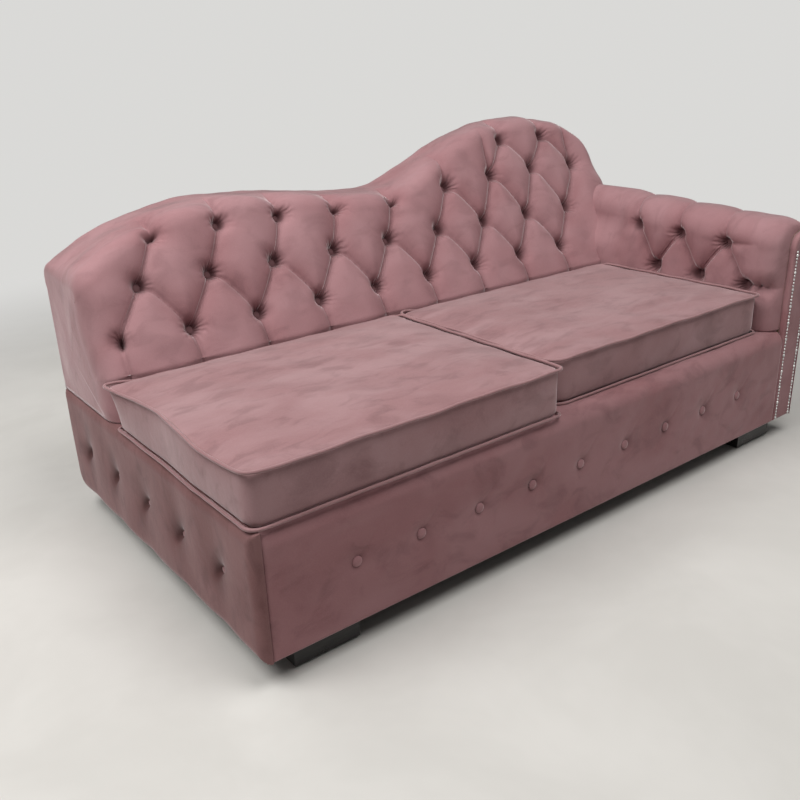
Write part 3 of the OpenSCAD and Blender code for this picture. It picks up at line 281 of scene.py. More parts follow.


# Velvet: blotches where the pile lies differently, a fine nap, and the mesh's own lift, which goes
# to pale above zero and to deep below. The lift is random tone together with painted light on the
# tufts' pillows and painted shade in their folds and pits and in the panels' dimples
def velvet(name, look, blotch=1.0, puckers=False):
    material, tree, shader = newMaterial(name)
    stretched = stretchedPlace(tree, (1.0, 2.4, 1.3), (0.3, 0.5, 0.9))
    wide = ramp(tree, noise(tree, 3.6, 3.0, 0.5, 0.6, stretched), 0.36, 0.66, 0.0, 0.42 * blotch)
    marks = ramp(tree, noise(tree, 11.0, 3.0, 0.55, 0.7, stretched), 0.46, 0.72, 0.0, 0.34 * blotch)
    nap = noise(tree, 420.0, 2.0, 0.6)
    lift = attribute(tree, "lift")
    color = mixColor(tree, wide, look["base"], look["pale"])
    # The lift's pale and deep mixes paint light on the pillows and shade in folds, pits and dimples
    for share, key in (
            (marks, "deep"), (ramp(tree, nap, 0.35, 0.7, 0.0, 0.16), "pale"),
            (ramp(tree, lift, 0.0, 1.0, 0.0, 0.45), "pale"),
            (ramp(tree, lift, 0.0, -1.0, 0.0, 0.80), "deep")):
        color = mixColor(tree, share, color, look[key])
    tree.links.new(color, shader.inputs["Base Color"])
    shader.inputs["Roughness"].default_value = look["rough"]
    shader.inputs["Sheen Weight"].default_value = look["sheen"]
    shader.inputs["Sheen Roughness"].default_value = look["sheenRough"]
    shader.inputs["Sheen Tint"].default_value = (*look["sheenTint"], 1)
    shader.inputs["Specular IOR Level"].default_value = 0.18
    normal = bump(tree, noise(tree, 34.0, 3.0, 0.6, 0.5), 0.20, 0.004)
    normal = bump(tree, nap, 0.22, 0.0006, normal)
    if puckers:
        normal = puckerBump(tree, normal)
    tree.links.new(normal, shader.inputs["Normal"])
    return material


# Plain weave: the greater of a wave along X and one along Y, over patches of light and dark
def plainCloth(name, light, dark, scale, rough=0.9):
    material, tree, shader = newMaterial(name)
    threads = {"Vector": objectPlace(tree), "Scale": scale, "Distortion": 0.6}
    warp, weft = (
        addNode(tree, "ShaderNodeTexWave", threads, bands_direction=way).outputs["Fac"] for way in "XY")
    weave = calc(tree, "MAXIMUM", warp, weft)
    color = mixColor(tree, ramp(tree, noise(tree, 30.0, 3.0), 0.3, 0.7), dark, light)
    color = mixColor(tree, ramp(tree, weave, 0.2, 1.0, 0.35, 0.0), color, dark)
    tree.links.new(color, shader.inputs["Base Color"])
    shader.inputs["Roughness"].default_value = rough
    tree.links.new(bump(tree, weave, 0.4, 0.0005), shader.inputs["Normal"])
    return material


# Wood: noise drawn out nine times along X, from dark to light
def wood(name, light, dark, rough, scale=1.0):
    material, tree, shader = newMaterial(name)
    grain = noise(tree, 9.0, 6.0, 0.65, 0.7, stretchedPlace(tree, (scale, 9.0 * scale, 9.0 * scale)))
    color = mixColor(tree, ramp(tree, grain, 0.35, 0.68), dark, light)
    tree.links.new(color, shader.inputs["Base Color"])
    worn = ramp(tree, noise(tree, 14.0, 3.0), 0.3, 0.7, rough - 0.08, rough + 0.1)
    tree.links.new(worn, shader.inputs["Roughness"])
    tree.links.new(bump(tree, grain, 0.18, 0.0006), shader.inputs["Normal"])
    return material


# Metal: one stain of noise makes it both darker and rougher
def metal(name, light, dark, rough, scale=60.0):
    material, tree, shader = newMaterial(name)
    stain = noise(tree, scale, 3.0)
    tree.links.new(mixColor(tree, ramp(tree, stain, 0.3, 0.7), dark, light), shader.inputs["Base Color"])
    shader.inputs["Metallic"].default_value = 1.0
    tree.links.new(ramp(tree, stain, 0.3, 0.7, rough + 0.1, rough), shader.inputs["Roughness"])
    tree.links.new(bump(tree, noise(tree, scale * 4, 2.0), 0.06, 0.0003), shader.inputs["Normal"])
    return material


# Felt: dark in the middle of each cell, light at its walls
def spongy(name, light, dark, scale):
    material, tree, shader = newMaterial(name)
    cells = addNode(tree, "ShaderNodeTexVoronoi", {
        "Vector": objectPlace(tree), "Scale": scale}).outputs["Distance"]
    tree.links.new(mixColor(tree, ramp(tree, cells, 0.1, 0.6), dark, light), shader.inputs["Base Color"])
    shader.inputs["Roughness"].default_value = 0.95
    tree.links.new(bump(tree, cells, 0.5, 0.001), shader.inputs["Normal"])
    return material


bodyVelvet = velvet("velvetBody", bodyLook)
tuftVelvet = velvet("velvetTufted", velvetLook, blotch=0.8, puckers=True)
seatSheenVelvet = velvet("velvetSeatSheen", seatSheenLook, blotch=1.0)
sideShadeVelvet = velvet("velvetSideShade", sideShadeLook, blotch=0.9)
trimVelvet = velvet("velvetTrim", velvetLook, blotch=0.5)
pipeVelvet = velvet("velvetPiping", seatSheenLook, blotch=0.4)
pitShadeVelvet = velvet("velvetPitsShade", pitShadeLook, blotch=0.4)
deckCloth = plainCloth("deckCloth", (0.150, 0.112, 0.114), (0.118, 0.088, 0.090), 180.0)
dustCloth = plainCloth("dustCloth", (0.035, 0.035, 0.038), (0.015, 0.015, 0.017), 260.0)
feltCloth = spongy("feltMat", (0.32, 0.31, 0.30), (0.16, 0.15, 0.15), 400.0)
pineWood = wood("pineWood", (0.66, 0.47, 0.27), (0.42, 0.26, 0.12), 0.55)
fibreBoard = wood("fibreBoard", (0.36, 0.24, 0.15), (0.22, 0.14, 0.09), 0.7, 3.0)
blackWood = wood("blackWood", (0.020, 0.018, 0.018), (0.008, 0.007, 0.007), 0.34, 2.0)
springSteel = metal("springSteel", (0.42, 0.43, 0.45), (0.24, 0.24, 0.25), 0.35)
silverTrim = metal("silverTrim", (0.80, 0.79, 0.78), (0.46, 0.45, 0.45), 0.22)
glideFelt = plainCloth("glideFelt", (0.12, 0.12, 0.12), (0.05, 0.05, 0.05), 500.0)
zipTape = plainCloth("zipTape", (0.20, 0.11, 0.12), (0.09, 0.05, 0.05), 700.0, 0.6)
print("materials done", flush=True)

# The back's outline: shares of the length and of the height above the deck
crestShares = np.array([
    [0, 0.57], [0.08, 0.70], [0.195, 0.783], [0.32, 0.772], [0.45, 0.725], [0.54, 0.728],
    [0.62, 0.828], [0.72, 0.95], [0.835, 1], [0.925, 0.965], [0.97, 0.885], [0.99, 0.79], [1, 0.70]])
crestX = crestShares[:, 0] * couch["w"]
crestZ = couch["deck"] + crestShares[:, 1] * (couch["crown"] - couch["deck"])
before = np.maximum(np.arange(len(crestX)) - 1, 0)
after = np.minimum(np.arange(len(crestX)) + 1, len(crestX) - 1)
crestSlope = (crestZ[after] - crestZ[before]) / (crestX[after] - crestX[before])


# The crest's height over x: a Hermite cubic from point to point, whose slope at each point is that
# between its two neighbours
def crest(x):
    x = np.clip(np.asarray(x, float), 0, couch["w"])
    i = np.clip(np.searchsorted(crestX, x, side="left") - 1, 0, len(crestX) - 2)
    w = crestX[i + 1] - crestX[i]
    t = (x - crestX[i]) / w
    return (crestZ[i] * (2 * t**3 - 3 * t**2 + 1) + crestSlope[i] * w * (t**3 - 2 * t**2 + t)
            + crestZ[i + 1] * (3 * t**2 - 2 * t**3) + crestSlope[i + 1] * w * (t**3 - t**2))


# Distance up the sloping face from the seat to a height: the height over the lean's cosine
def faceS(z):
    return (z - couch["seat"]) / math.cos(leanAngle)


# The rounds over the crest and down the rear, and how far the cloth hangs below the latter
section = dict(r=60.0, rear=36.0, hang=50.0)


# The back's section at x, as distances up the cloth from the seat: the face runs to start, a round
# of radius r over the crest to end, the flat top to flat, and the rear round and what hangs below
# it to last. Both rounds shrink where the crest leaves them too little depth.
def backProfile(x):
    top = crest(x)
    faceTop = couch["back"] + couch["lean"] * (top - couch["seat"])
    room = section["r"] * math.tan(turnAngle / 2) + section["rear"]
    fit = np.minimum(1, (couch["d"] - faceTop) / room)
    r, rear = section["r"] * fit, section["rear"] * fit
    start = faceS(top) - r * math.tan(turnAngle / 2)
    end = start + r * turnAngle
    hub = faceTop + r * math.tan(turnAngle / 2)
    flat = end + np.maximum(0, couch["d"] - rear - hub)
    return dict(top=top, r=r, rear=rear, start=start, end=end, hub=hub, flat=flat,
                last=flat + rear * math.pi / 2 + np.maximum(0, section["hang"] - rear))


# How far the section has turned from the face at s: an even share of the turn over the crest
def crestTurn(f, s):
    return np.clip((s - f["start"]) / (f["end"] - f["start"]), 0, 1) * turnAngle


# Y and Z on the back's skin over x, at a distance s up from the seat along the cloth
def backSpot(x, s):
    f = backProfile(x)
    a = math.pi - leanAngle - crestTurn(f, s)
    over = np.clip(s - f["end"], 0, f["flat"] - f["end"])
    y = np.where(s < f["start"], couch["back"] + np.maximum(s, 0) * math.sin(leanAngle),
                 f["hub"] + over + f["r"] * np.cos(a))
    z = np.where(s < f["start"], couch["seat"] + np.where(s > 0, s * math.cos(leanAngle), s),
                 f["top"] - f["r"] + f["r"] * np.sin(a))
    rearTurn = np.clip((s - f["flat"]) / f["rear"], 0, math.pi / 2)
    down = np.maximum(0, s - f["flat"] - f["rear"] * math.pi / 2)
    onRear = s > f["flat"]
    y = np.where(onRear, couch["d"] - f["rear"] * (1 - np.sin(rearTurn)), y)
    z = np.where(onRear, f["top"] - f["rear"] * (1 - np.cos(rearTurn)) - down, z)
    return y, z


# Tufting: buttons and the folds between them, on the flattened cloth
tufting = dict(
    pitch=189.0, start=58.0, first=540.0, rise=112.0, rows=4, cols=11, follow=(0, 0, 0.2, 0), meanCrest=0.84,
    edge=0.42, room=8.0, near=0.6, armTop=657.0, padFace=1705.0, foldMid=21.0, foldEnd=31.0, reach=77.0,
    pit=53.0, pitFlat=8.5, pitReach=12.0, shiftRow=2, softHump=9.0, down=(-4.0, -90.0), out=(6.0, 175.0),
    outDepth=0.95, farPleat=30.0)
shiftShares = np.array([
    [0, 0], [0.13, -0.14], [0.24, -0.15], [0.34, -0.21], [0.44, -0.25], [0.54, -0.18], [0.64, -0.03],
    [0.7, 0], [1, 0]])


# The back's rows of buttons as X and distance up the cloth: each row is half a pitch on from the
# one below, and a button is left out past the arm or too near the crest
def backButtons():
    t = tufting
    mean = couch["deck"] + (couch["crown"] - couch["deck"]) * t["meanCrest"]
    rows = []
    for r in range(t["rows"]):
        middle = t["first"] + r * t["rise"] + t["follow"][r] * (crest(couch["w"] / 2) - mean)
        limit = couch["w"] - t["edge"] * t["pitch"] if middle > t["armTop"] else t["padFace"]
        row = []
        for k in range(t["cols"]):
            x = t["start"] + (k + r / 2) * t["pitch"]
            z = t["first"] + r * t["rise"] + t["follow"][r] * (crest(x) - mean)
            if x < limit and z < crest(x) - t["room"]:
                shift = np.interp(x / couch["w"], *shiftShares.T) if r == t["shiftRow"] else 0
                row.append((x + t["pitch"] * shift, float(faceS(z))))
        rows.append(row)
    return rows


# A fold's path from a to b: a straight line and a hump near its start
def foldPath(a, b, hump=0.0, steps=7):
    a, b = np.array(a, float), np.array(b, float)
    t = np.linspace(0, 1, steps)[:, None]
    side = np.array([0.0, 1.0])
    return a + (b - a) * t + side * hump * (np.sin(t * math.pi) * (1 - t) ** 1.2 * 2)


# Places within reach of a fold's path, with each one's distance to it, its share of the way along
# and the side it is on
def nearFold(path, x, s, reach):
    low, high = path.min(0) - reach, path.max(0) + reach
    inside = np.nonzero((x > low[0]) & (x < high[0]) & (s > low[1]) & (s < high[1]))
    px, ps = x[inside], s[inside]
    best = np.full(px.shape, 1e6)
    along, sign = np.zeros(px.shape), np.zeros(px.shape)
    for i in range(len(path) - 1):
        a, d = path[i], path[i + 1] - path[i]
        t = np.clip(((px - a[0]) * d[0] + (ps - a[1]) * d[1]) / (d @ d), 0, 1)
        dist = np.hypot(px - a[0] - t * d[0], ps - a[1] - t * d[1])
        closer = dist < best
        best = np.where(closer, dist, best)
        along = np.where(closer, (i + t) / (len(path) - 1), along)
        sign = np.where(closer, np.sign((px - a[0]) * d[1] - (ps - a[1]) * d[0]), sign)
    return inside, best, along, sign


# A fold's depth by its share of the way along: foldMid in the middle and foldEnd at the buttons, by
# the power 2.5. One that runs out has a button at its start alone and fades; one that goes over the
# roll is deepest at its start.
def foldDepth(along, kind, cfg):
    if kind == "over":
        return cfg["foldMid"] * lerp(1.25, 0.3, smooth(along / 0.42))
    ends = np.abs(2 * along - 1) if kind != "out" else 1 - along
    deep = cfg["foldMid"] + (cfg["foldEnd"] - cfg["foldMid"]) * ends**2.5
    return deep * (1 - rise(along, 0.25, 0.75)) if kind == "out" else deep


# The tufts' depth: round grooves along the folds, joined by the fourth root of the sum of their
# fourth powers, and a pit at each button. Also the signed distance to the nearest steep fold, and
# the distance and the way to the nearest button.
def tuftField(x, s, folds, spots, cfg):
    depth = np.zeros(x.shape)
    pleat = np.full(x.shape, 1e6)
    for path, kind, strength in folds:
        inside, best, along, sign = nearFold(path, x, s, cfg["reach"])
        deep = strength * foldDepth(along, kind, cfg)
        depth[inside] += (deep * (1 - quarter(best / cfg["reach"]))) ** 4
        if kind == "steep":
            pleat[inside] = np.where(best < np.abs(pleat[inside]), best * sign, pleat[inside])
    depth = depth**0.25
    nearest = np.full(x.shape, 1e6)
    local = np.zeros(x.shape + (3,))
    for bx, bs in spots:
        r = np.hypot(x - bx, s - bs)
        closer = r < nearest
        nearest = np.where(closer, r, nearest)
        local[closer] = np.stack([x - bx, s - bs, np.zeros_like(x)], -1)[closer] * mm
    funnel = np.exp(-(np.maximum(0, nearest - cfg["pitFlat"]) / cfg["pitReach"]) ** 1.5)
    depth = depth + (cfg["pit"] - cfg["foldEnd"]) * funnel
    return depth, np.clip(pleat, -cfg["farPleat"], cfg["farPleat"]) * mm, nearest, local


# Painted light and shade of the cloth: lighter on the pillows, painted shade in the folds and darkest in the
# pits
def tuftShade(depth, nearest, fade):
    pillow, fold = np.clip(1 - depth / 12, 0, 1), np.clip(depth / 24, 0, 1)
    return (0.55 * pillow - 0.32 * fold - np.exp(-((nearest / 15.5) ** 4))) * fade


# The tufted cloth's attributes, with plain rows before and after and plain columns after, where no
# fold or button is near
def tuftValues(field, fade, moreRows, moreCols):
    depth, pleat, nearest, local = field
    noFold, noButton = 0.03, 0.2

    # More rows and columns of one value
    def widen(a, fill=0.0):
        edges = [(moreRows, moreRows), (0, moreCols)] + [(0, 0)] * (a.ndim - 2)
        return np.pad(a, edges, constant_values=fill)

    return {
        # lift holds the tufts' painted light and shade
        "lift": widen(tuftShade(depth, nearest, fade)), "pleat": widen(pleat, noFold),
        "beside": widen(np.where(fade > 0.5, np.abs(pleat), noFold), noFold),
        "tuft": widen(local, noButton),
        "reach": widen(np.where(fade > 0.5, nearest * mm, noButton), noButton)}


# Unit normals of a grid of points, from the cross product of its steps both ways, turned so that
# the one at a known place points to less than zero along an axis
def gridNormals(points, place, axis):
    n = np.cross(np.gradient(points, axis=0), np.gradient(points, axis=1))
    n = n / np.maximum(np.linalg.norm(n, axis=-1, keepdims=True), 1e-9)
    return -n if n[place][axis] > 0 else n


# Back
backForm = dict(
    cols=446, rows=168, capCols=20, leadCols=14, discCols=12, downRows=9, underRows=6,
    span=118.0, below=119.7, gap=0.4, rearY=1021.6, midY=892.0, midZ=468.0, dome=1.0,
    endX=6.0, endAt=30.0, ease=0.9, stretch=1.1, leftR=(92.0, 30.0), rightR=(60.0, 44.0), lowR=0.85,
    rearR=13.0, faceRound=100.0, rearRound=(30.0, 50.0), lowRound=(-122.0, 60.0), largeR=(30.0, 60.0),
    leanRise=(-60.0, 120.0), lowFade=(-118.0, 26.0), topFade=95.0, topRise=40.0, rimRise=34.0,
    edgeFade=30.0, kinds=((150.0, 3, 1.3), (60.0, 4, 0.5)), swell=5.0, swellDepth=16.0, swellRim=4.0,
    topSwell=3.0, bulge=16.0, bulgeX=(1690.0, 70.0), bulgeLow=(30.0, 90.0), bulgeHigh=(270.0, 90.0),
    tuckIn=0.6, downFrom=0.04, underFrom=0.12, discWaves=(200.0, 9))
buttonRows = backButtons()
backSpots = [p for row in buttonRows for p in row]


# Folds from each button to its neighbours in the row above, steep one way and soft the other; down
# to the seat from the lowest row; and out to the crest where a button has a neighbour missing
def backFolds():
    t = tufting
    folds = []
    for r, row in enumerate(buttonRows):
        higher = buttonRows[r + 1] if r + 1 < t["rows"] else []
        for p in row:
            above = [q for q in higher if abs(p[0] - q[0]) < t["near"] * t["pitch"]]
            for q in above:
                steep = q[0] > p[0]
                path = foldPath(q, p, 0 if steep else t["softHump"])
                folds.append((path, "steep" if steep else "soft", 1.0))
            if r == 0:
                folds.append((foldPath(p, (p[0] + t["down"][0], t["down"][1])), "down", 1.0))
            if r > 1 and len(above) < 2:
                folds.append((foldPath(p, np.add(p, t["out"])), "out", t["outDepth"]))
    return folds


# Radius of an end's rounding up the section: front on the face and top over the crest, less down
# the rear and below the seat
def endRadius(s, f, front, top):
    b = backForm
    r = lerp(front, top, rise(s - f["start"], -b["faceRound"], f["end"] - f["start"] + b["faceRound"]))
    start, less = b["rearRound"]
    r = lerp(r, b["rearR"], rise(s - f["end"], start, f["last"] - f["end"] - less))
    return lerp(b["lowR"] * front, r, rise(s, *b["lowRound"]))


# Large roundings run deeper into the back than they run along it
def endStretch(radius):
    return lerp(1.0, backForm["stretch"], rise(radius, *backForm["largeR"]))


# Direction into the back from a place on its section, turned as the section turns
def inwardWay(f, s):
    turn = leanAngle * rise(s, *backForm["leanRise"]) + crestTurn(f, s)
    turn = turn + np.clip((s - f["flat"]) / f["rear"], 0, math.pi / 2)
    return np.stack([0 * turn, np.cos(turn), -np.sin(turn)], -1)


# Where a button near the left end goes with the cloth as it turns round that end
def endShift(x, s):
    b = backForm
    radius = b["leftR"][0]
    phi = max(0.0, 1 - x / radius)
    inset = radius * b["stretch"] * (1 - math.cos(phi) ** b["ease"])
    across = radius - (radius - b["endX"]) * math.sin(phi) ** b["ease"] - x if phi else 0.0
    return np.array([across, 0, 0]) + inwardWay(backProfile(x), s) * inset


# The plain last column swells over the rear of the arm
def armBulge(x, s):
    b = backForm
    return b["bulge"] * rise(x, *b["bulgeX"]) * rise(s, *b["bulgeLow"]) * (1 - rise(s, *b["bulgeHigh"]))


# Columns of the back's cloth from the left end to the right one, a row for each share v up it: X,
# place on the flat cloth, and how far each is drawn in. At an end they follow a quarter circle,
# eased, whose radius changes up the section, and then run on to the middle's even columns.
def backColumns(v):
    b = backForm
    phi = np.linspace(math.pi / 2, 0, b["capCols"], endpoint=False)[:, None]
    sine, cosine = np.sin(phi) ** b["ease"], np.cos(phi) ** b["ease"]
    lead = np.linspace(0, 1, b["leadCols"], endpoint=False)[:, None]
    ends = []
    for x, radii in ((b["endAt"], b["leftR"]), (couch["w"] - b["endAt"], b["rightR"])):
        f = backProfile(np.full(v.shape, x))
        radius = endRadius(lerp(-b["below"], f["last"], v), f, *radii)
        run = radius + (b["span"] - radius) * lead
        ends.append([np.concatenate(pair) for pair in (
            (b["endX"] + (radius - b["endX"]) * (1 - sine), run), (radius * (1 - phi), run),
            (radius * endStretch(radius) * (1 - cosine), 0 * run))])
    left, right = ends[0], [a[::-1] for a in ends[1]]
    mid = np.linspace(b["span"], couch["w"] - b["span"], b["cols"])[:, None] + 0 * v
    return (
        np.concatenate([left[0], mid, couch["w"] - right[0]]),
        np.concatenate([left[1], mid, couch["w"] - right[1]]),
        np.concatenate([left[2], 0 * mid, right[2]]))


# An end's face: its ring drawn to a middle point in steps, while X eases from the ring's to x
def endDisc(ring, x):
    b = backForm
    middle = np.array([0, b["midY"], b["midZ"]])
    share = (1 - np.linspace(0, 1, b["discCols"] + 1)[1:-1])[:, None, None]
    spots = (ring - middle) * share + middle
    share = share[..., 0]
    spots[..., 0] = lerp(x, ring[None, :, 0], smooth(share))
    spots[..., 0] += waves(spots[..., 1], spots[..., 2], *b["discWaves"]) * (1 - share**3)
    return spots


# The back's skin: its section at each column, drawn in at the ends, and moved along its normal by
# the pillows' swell and a little unevenness, less the tufts' depth
def buildBack():
    b = backForm
    v = np.linspace(0, 1, b["rows"])[None, :]
    xs, flats, insets = backColumns(v)
    f = backProfile(xs)
    s = lerp(-b["below"], f["last"], v)
    base = np.stack([xs, *backSpot(xs, s)], -1) + inwardWay(f, s) * insets[..., None]
    normals = gridNormals(base, (len(base) // 2, b["rows"] // 3), 1)
    field = tuftField(flats, s, backFolds(), backSpots, tufting)
    depth, past = field[0], s - f["end"]
    above, edgeFade = rise(s, *b["lowFade"]), smooth((f["last"] - s) / b["edgeFade"])
    fade = (1 - smooth(past / b["topFade"])) * above
    rimShare = rise(np.minimum(xs, couch["w"] - xs), b["endX"], b["rimRise"])
    swell = b["swell"] * np.clip(1 - depth / b["swellDepth"], 0, 1) * fade
    swell = lerp(b["swellRim"] * fade, swell, rimShare)
    top = smooth(past / b["topRise"]) * edgeFade * b["topSwell"]
    out = swell + rimShare * (top + armBulge(xs, s) + uneven(flats, s, *b["kinds"]) * edgeFade * above)
    points = base + normals * (out - depth * fade)[..., None]
    # The rest of the section runs down behind the rear panel and forward on the base
    tucked, floor, front = points[:, -1].copy(), points[:, -1].copy(), points[:, 0].copy()
    tucked[:, 1] = floor[:, 1] = b["rearY"]
    floor[:, 2] = front[:, 2] = couch["deck"] + b["gap"]
    down = lerp(tucked[:, None], floor[:, None], np.linspace(b["downFrom"], 1, b["downRows"])[None, :, None])
    down[:, :, 1] -= insets[:, -1:] * b["tuckIn"]
    underShares = np.linspace(b["underFrom"], 1 - b["underFrom"], b["underRows"])[None, :, None]
    under = lerp(down[:, -1:], front[:, None], underShares)
    rings = np.concatenate([points, down, under], 1)
    farX = couch["w"] + b["dome"]
    ends = np.array([[b["dome"], b["midY"], b["midZ"]], [farX, b["midY"], b["midZ"]]])
    rings = np.concatenate([endDisc(rings[0], b["dome"])[::-1], rings, endDisc(rings[-1], farX)])
    values = tuftValues(field, fade, b["discCols"] - 1, b["downRows"] + b["underRows"])
    return makeTube("tuftedBack", rings, ends, values)


finishPiece(
    buildBack(), root, tuftVelvet,
    ["back_left_pad", "back_right_pad", "back_left_end", "back_right_end"])


# A covered button: a domed disc with a rolled rim, puckered by a sine of nine waves round it
def buttonRings(r, t, turns=28):
    a = circle(turns)
    profile = np.array([
        [0.80, 0.0], [0.96, 0.10], [1.0, 0.30], [0.985, 0.46], [0.93, 0.62], [0.82, 0.74], [0.66, 0.85],
        [0.45, 0.94], [0.22, 0.99]])
    pucker = 1 + 0.018 * np.sin(a * 9)[None, :] * np.array([0, 1, 1, 1, 0.8, 0.4, 0.1, 0, 0])[:, None]
    rr = profile[:, :1] * r * pucker
    return np.stack([rr * np.cos(a), rr * np.sin(a), profile[:, 1:] * t + 0 * rr], -1)


# One mesh of many copies of a closed form, each at its place and turned by its axes
def scatter(name, rings, ends, places, turns):
    local = np.concatenate([rings.reshape(-1, 3), ends])
    faces = [np.array(f) for f in shellFaces(local, *rings.shape[:2])]
    points = np.concatenate([np.array(place) + local @ turn for place, turn in zip(places, turns)])
    allFaces = [(f + k * len(local)).tolist() for k in range(len(places)) for f in faces]
    return makeMesh(name, points, allFaces)


# Buttons at places, each facing its direction, in one piece
def buildButtons(name, places, ways, r=11.8, t=6.0):
    turns = []
    for way in ways:
        way = np.array(way, float) / np.linalg.norm(way)
        side = np.cross(way, [0.0, 0.3, 1.0])
        side /= np.linalg.norm(side)
        turns.append(np.array([side, np.cross(way, side), way]))
    return scatter(name, buttonRings(r, t), [[0, 0, 0.0], [0, 0, t]], places, turns)


# How far a pit's button stands out from the pit's bottom
pitLift = 4.0


# Each button of the back sits in its pit, and faces as the section does there
def backButtonPlaces():
    places, ways = [], []
    for x, s in backSpots:
        a = math.pi - leanAngle - float(crestTurn(backProfile(x), s))
        way = np.array([0, math.cos(a), math.sin(a)])
        spot = np.array([x, *(float(c) for c in backSpot(x, s))])
        places.append(spot + endShift(x, s) - way * (tufting["pit"] - pitLift))
        ways.append(way)
    return places, ways


finishPiece(
    buildButtons("backButtons", *backButtonPlaces()), root, pitShadeVelvet, ["back_buttons"])
print("back done", flush=True)

# Arm
armForm = dict(
    cols=186, wallRows=64, archRows=92, y0=22.4, gap=0.6, deckGap=0.4, backGap=0.5, midZ=500.0,
    swell=60.0, thin=0.06, outerPad=6.0, bend=50.0, tuck=0.72, tuckReach=150.0, tuckZ=(480.0, 105.0),
    low=470.0, high=577.0, lowY=(116.0, 274.0, 432.0), highY=(195.0, 353.0, 511.0), lowSlope=0.03,
    highSlope=0.053, near=95.0, steepHump=6.0, down=(-4.0, 346.0), downDepth=0.9, over=(34.0, 240.0),
    overDepth=0.95, frontLow=(66.0, 474.0), frontEdge=(4.0, 470.0), frontHump=3.0,
    frontDepths=(1.2, 1.55), frontHigh=(60.0, 600.0), frontHighDepth=0.55, wallFade=90.0, wallRim=40.0,
    archFade=(1.9, 0.9), frontFade=13.0, frontRim=20.0, pillow=4.0, pillowDepth=14.0,
    kinds=((120.0, 11, 1.0), (50.0, 12, 0.4)))
armTufts = dict(tufting, reach=62.0, foldMid=21.0, foldEnd=29.0, pit=50.0, pitReach=11.0)
armLow = [(y, armForm["low"] + armForm["lowSlope"] * y) for y in armForm["lowY"]]
armHigh = [(y, armForm["high"] + armForm["highSlope"] * y) for y in armForm["highY"]]


# The pad's thickness round the roll: the top's, and towards each side, by the cosine's square, that
# side's own
def armThickness(a, tuck):
    outer = np.where(a < math.pi / 2, couch["armPad"] * (1 - tuck), armForm["outerPad"])
    return lerp(couch["armTop"], outer, np.cos(a) ** 2)


# Folds between the arm's two rows of buttons, down to the deck, over the roll, and to the front
def armFolds():
    a = armForm
    folds = []
    for p in armLow:
        folds.append((foldPath(p, (p[0] + a["down"][0], a["down"][1])), "down", a["downDepth"]))
        for q in armHigh:
            if abs(p[0] - q[0]) < a["near"]:
                steep = q[0] > p[0]
                path = foldPath(q, p, a["steepHump"] if steep else 0)
                folds.append((path, "soft" if steep else "steep", 1.0))
    for p in armHigh:
        folds.append((foldPath(p, np.add(p, a["over"])), "over", a["overDepth"]))
    # The low fold that runs on to the front
    folds.append((foldPath(armLow[0], a["frontLow"], a["frontHump"]), "soft", a["frontDepths"][0]))
    folds.append((foldPath(a["frontLow"], a["frontEdge"]), "even", a["frontDepths"][1]))
    # From the last upper button down to the front corner
    folds.append((foldPath(armHigh[0], a["frontHigh"]), "out", a["frontHighDepth"]))
    return folds


# Y where the arm meets the back's sloping face at a height: the face's lean times the height
def backMeet(z):
    return couch["back"] + couch["lean"] * np.maximum(0, z - couch["seat"]) - armForm["gap"]


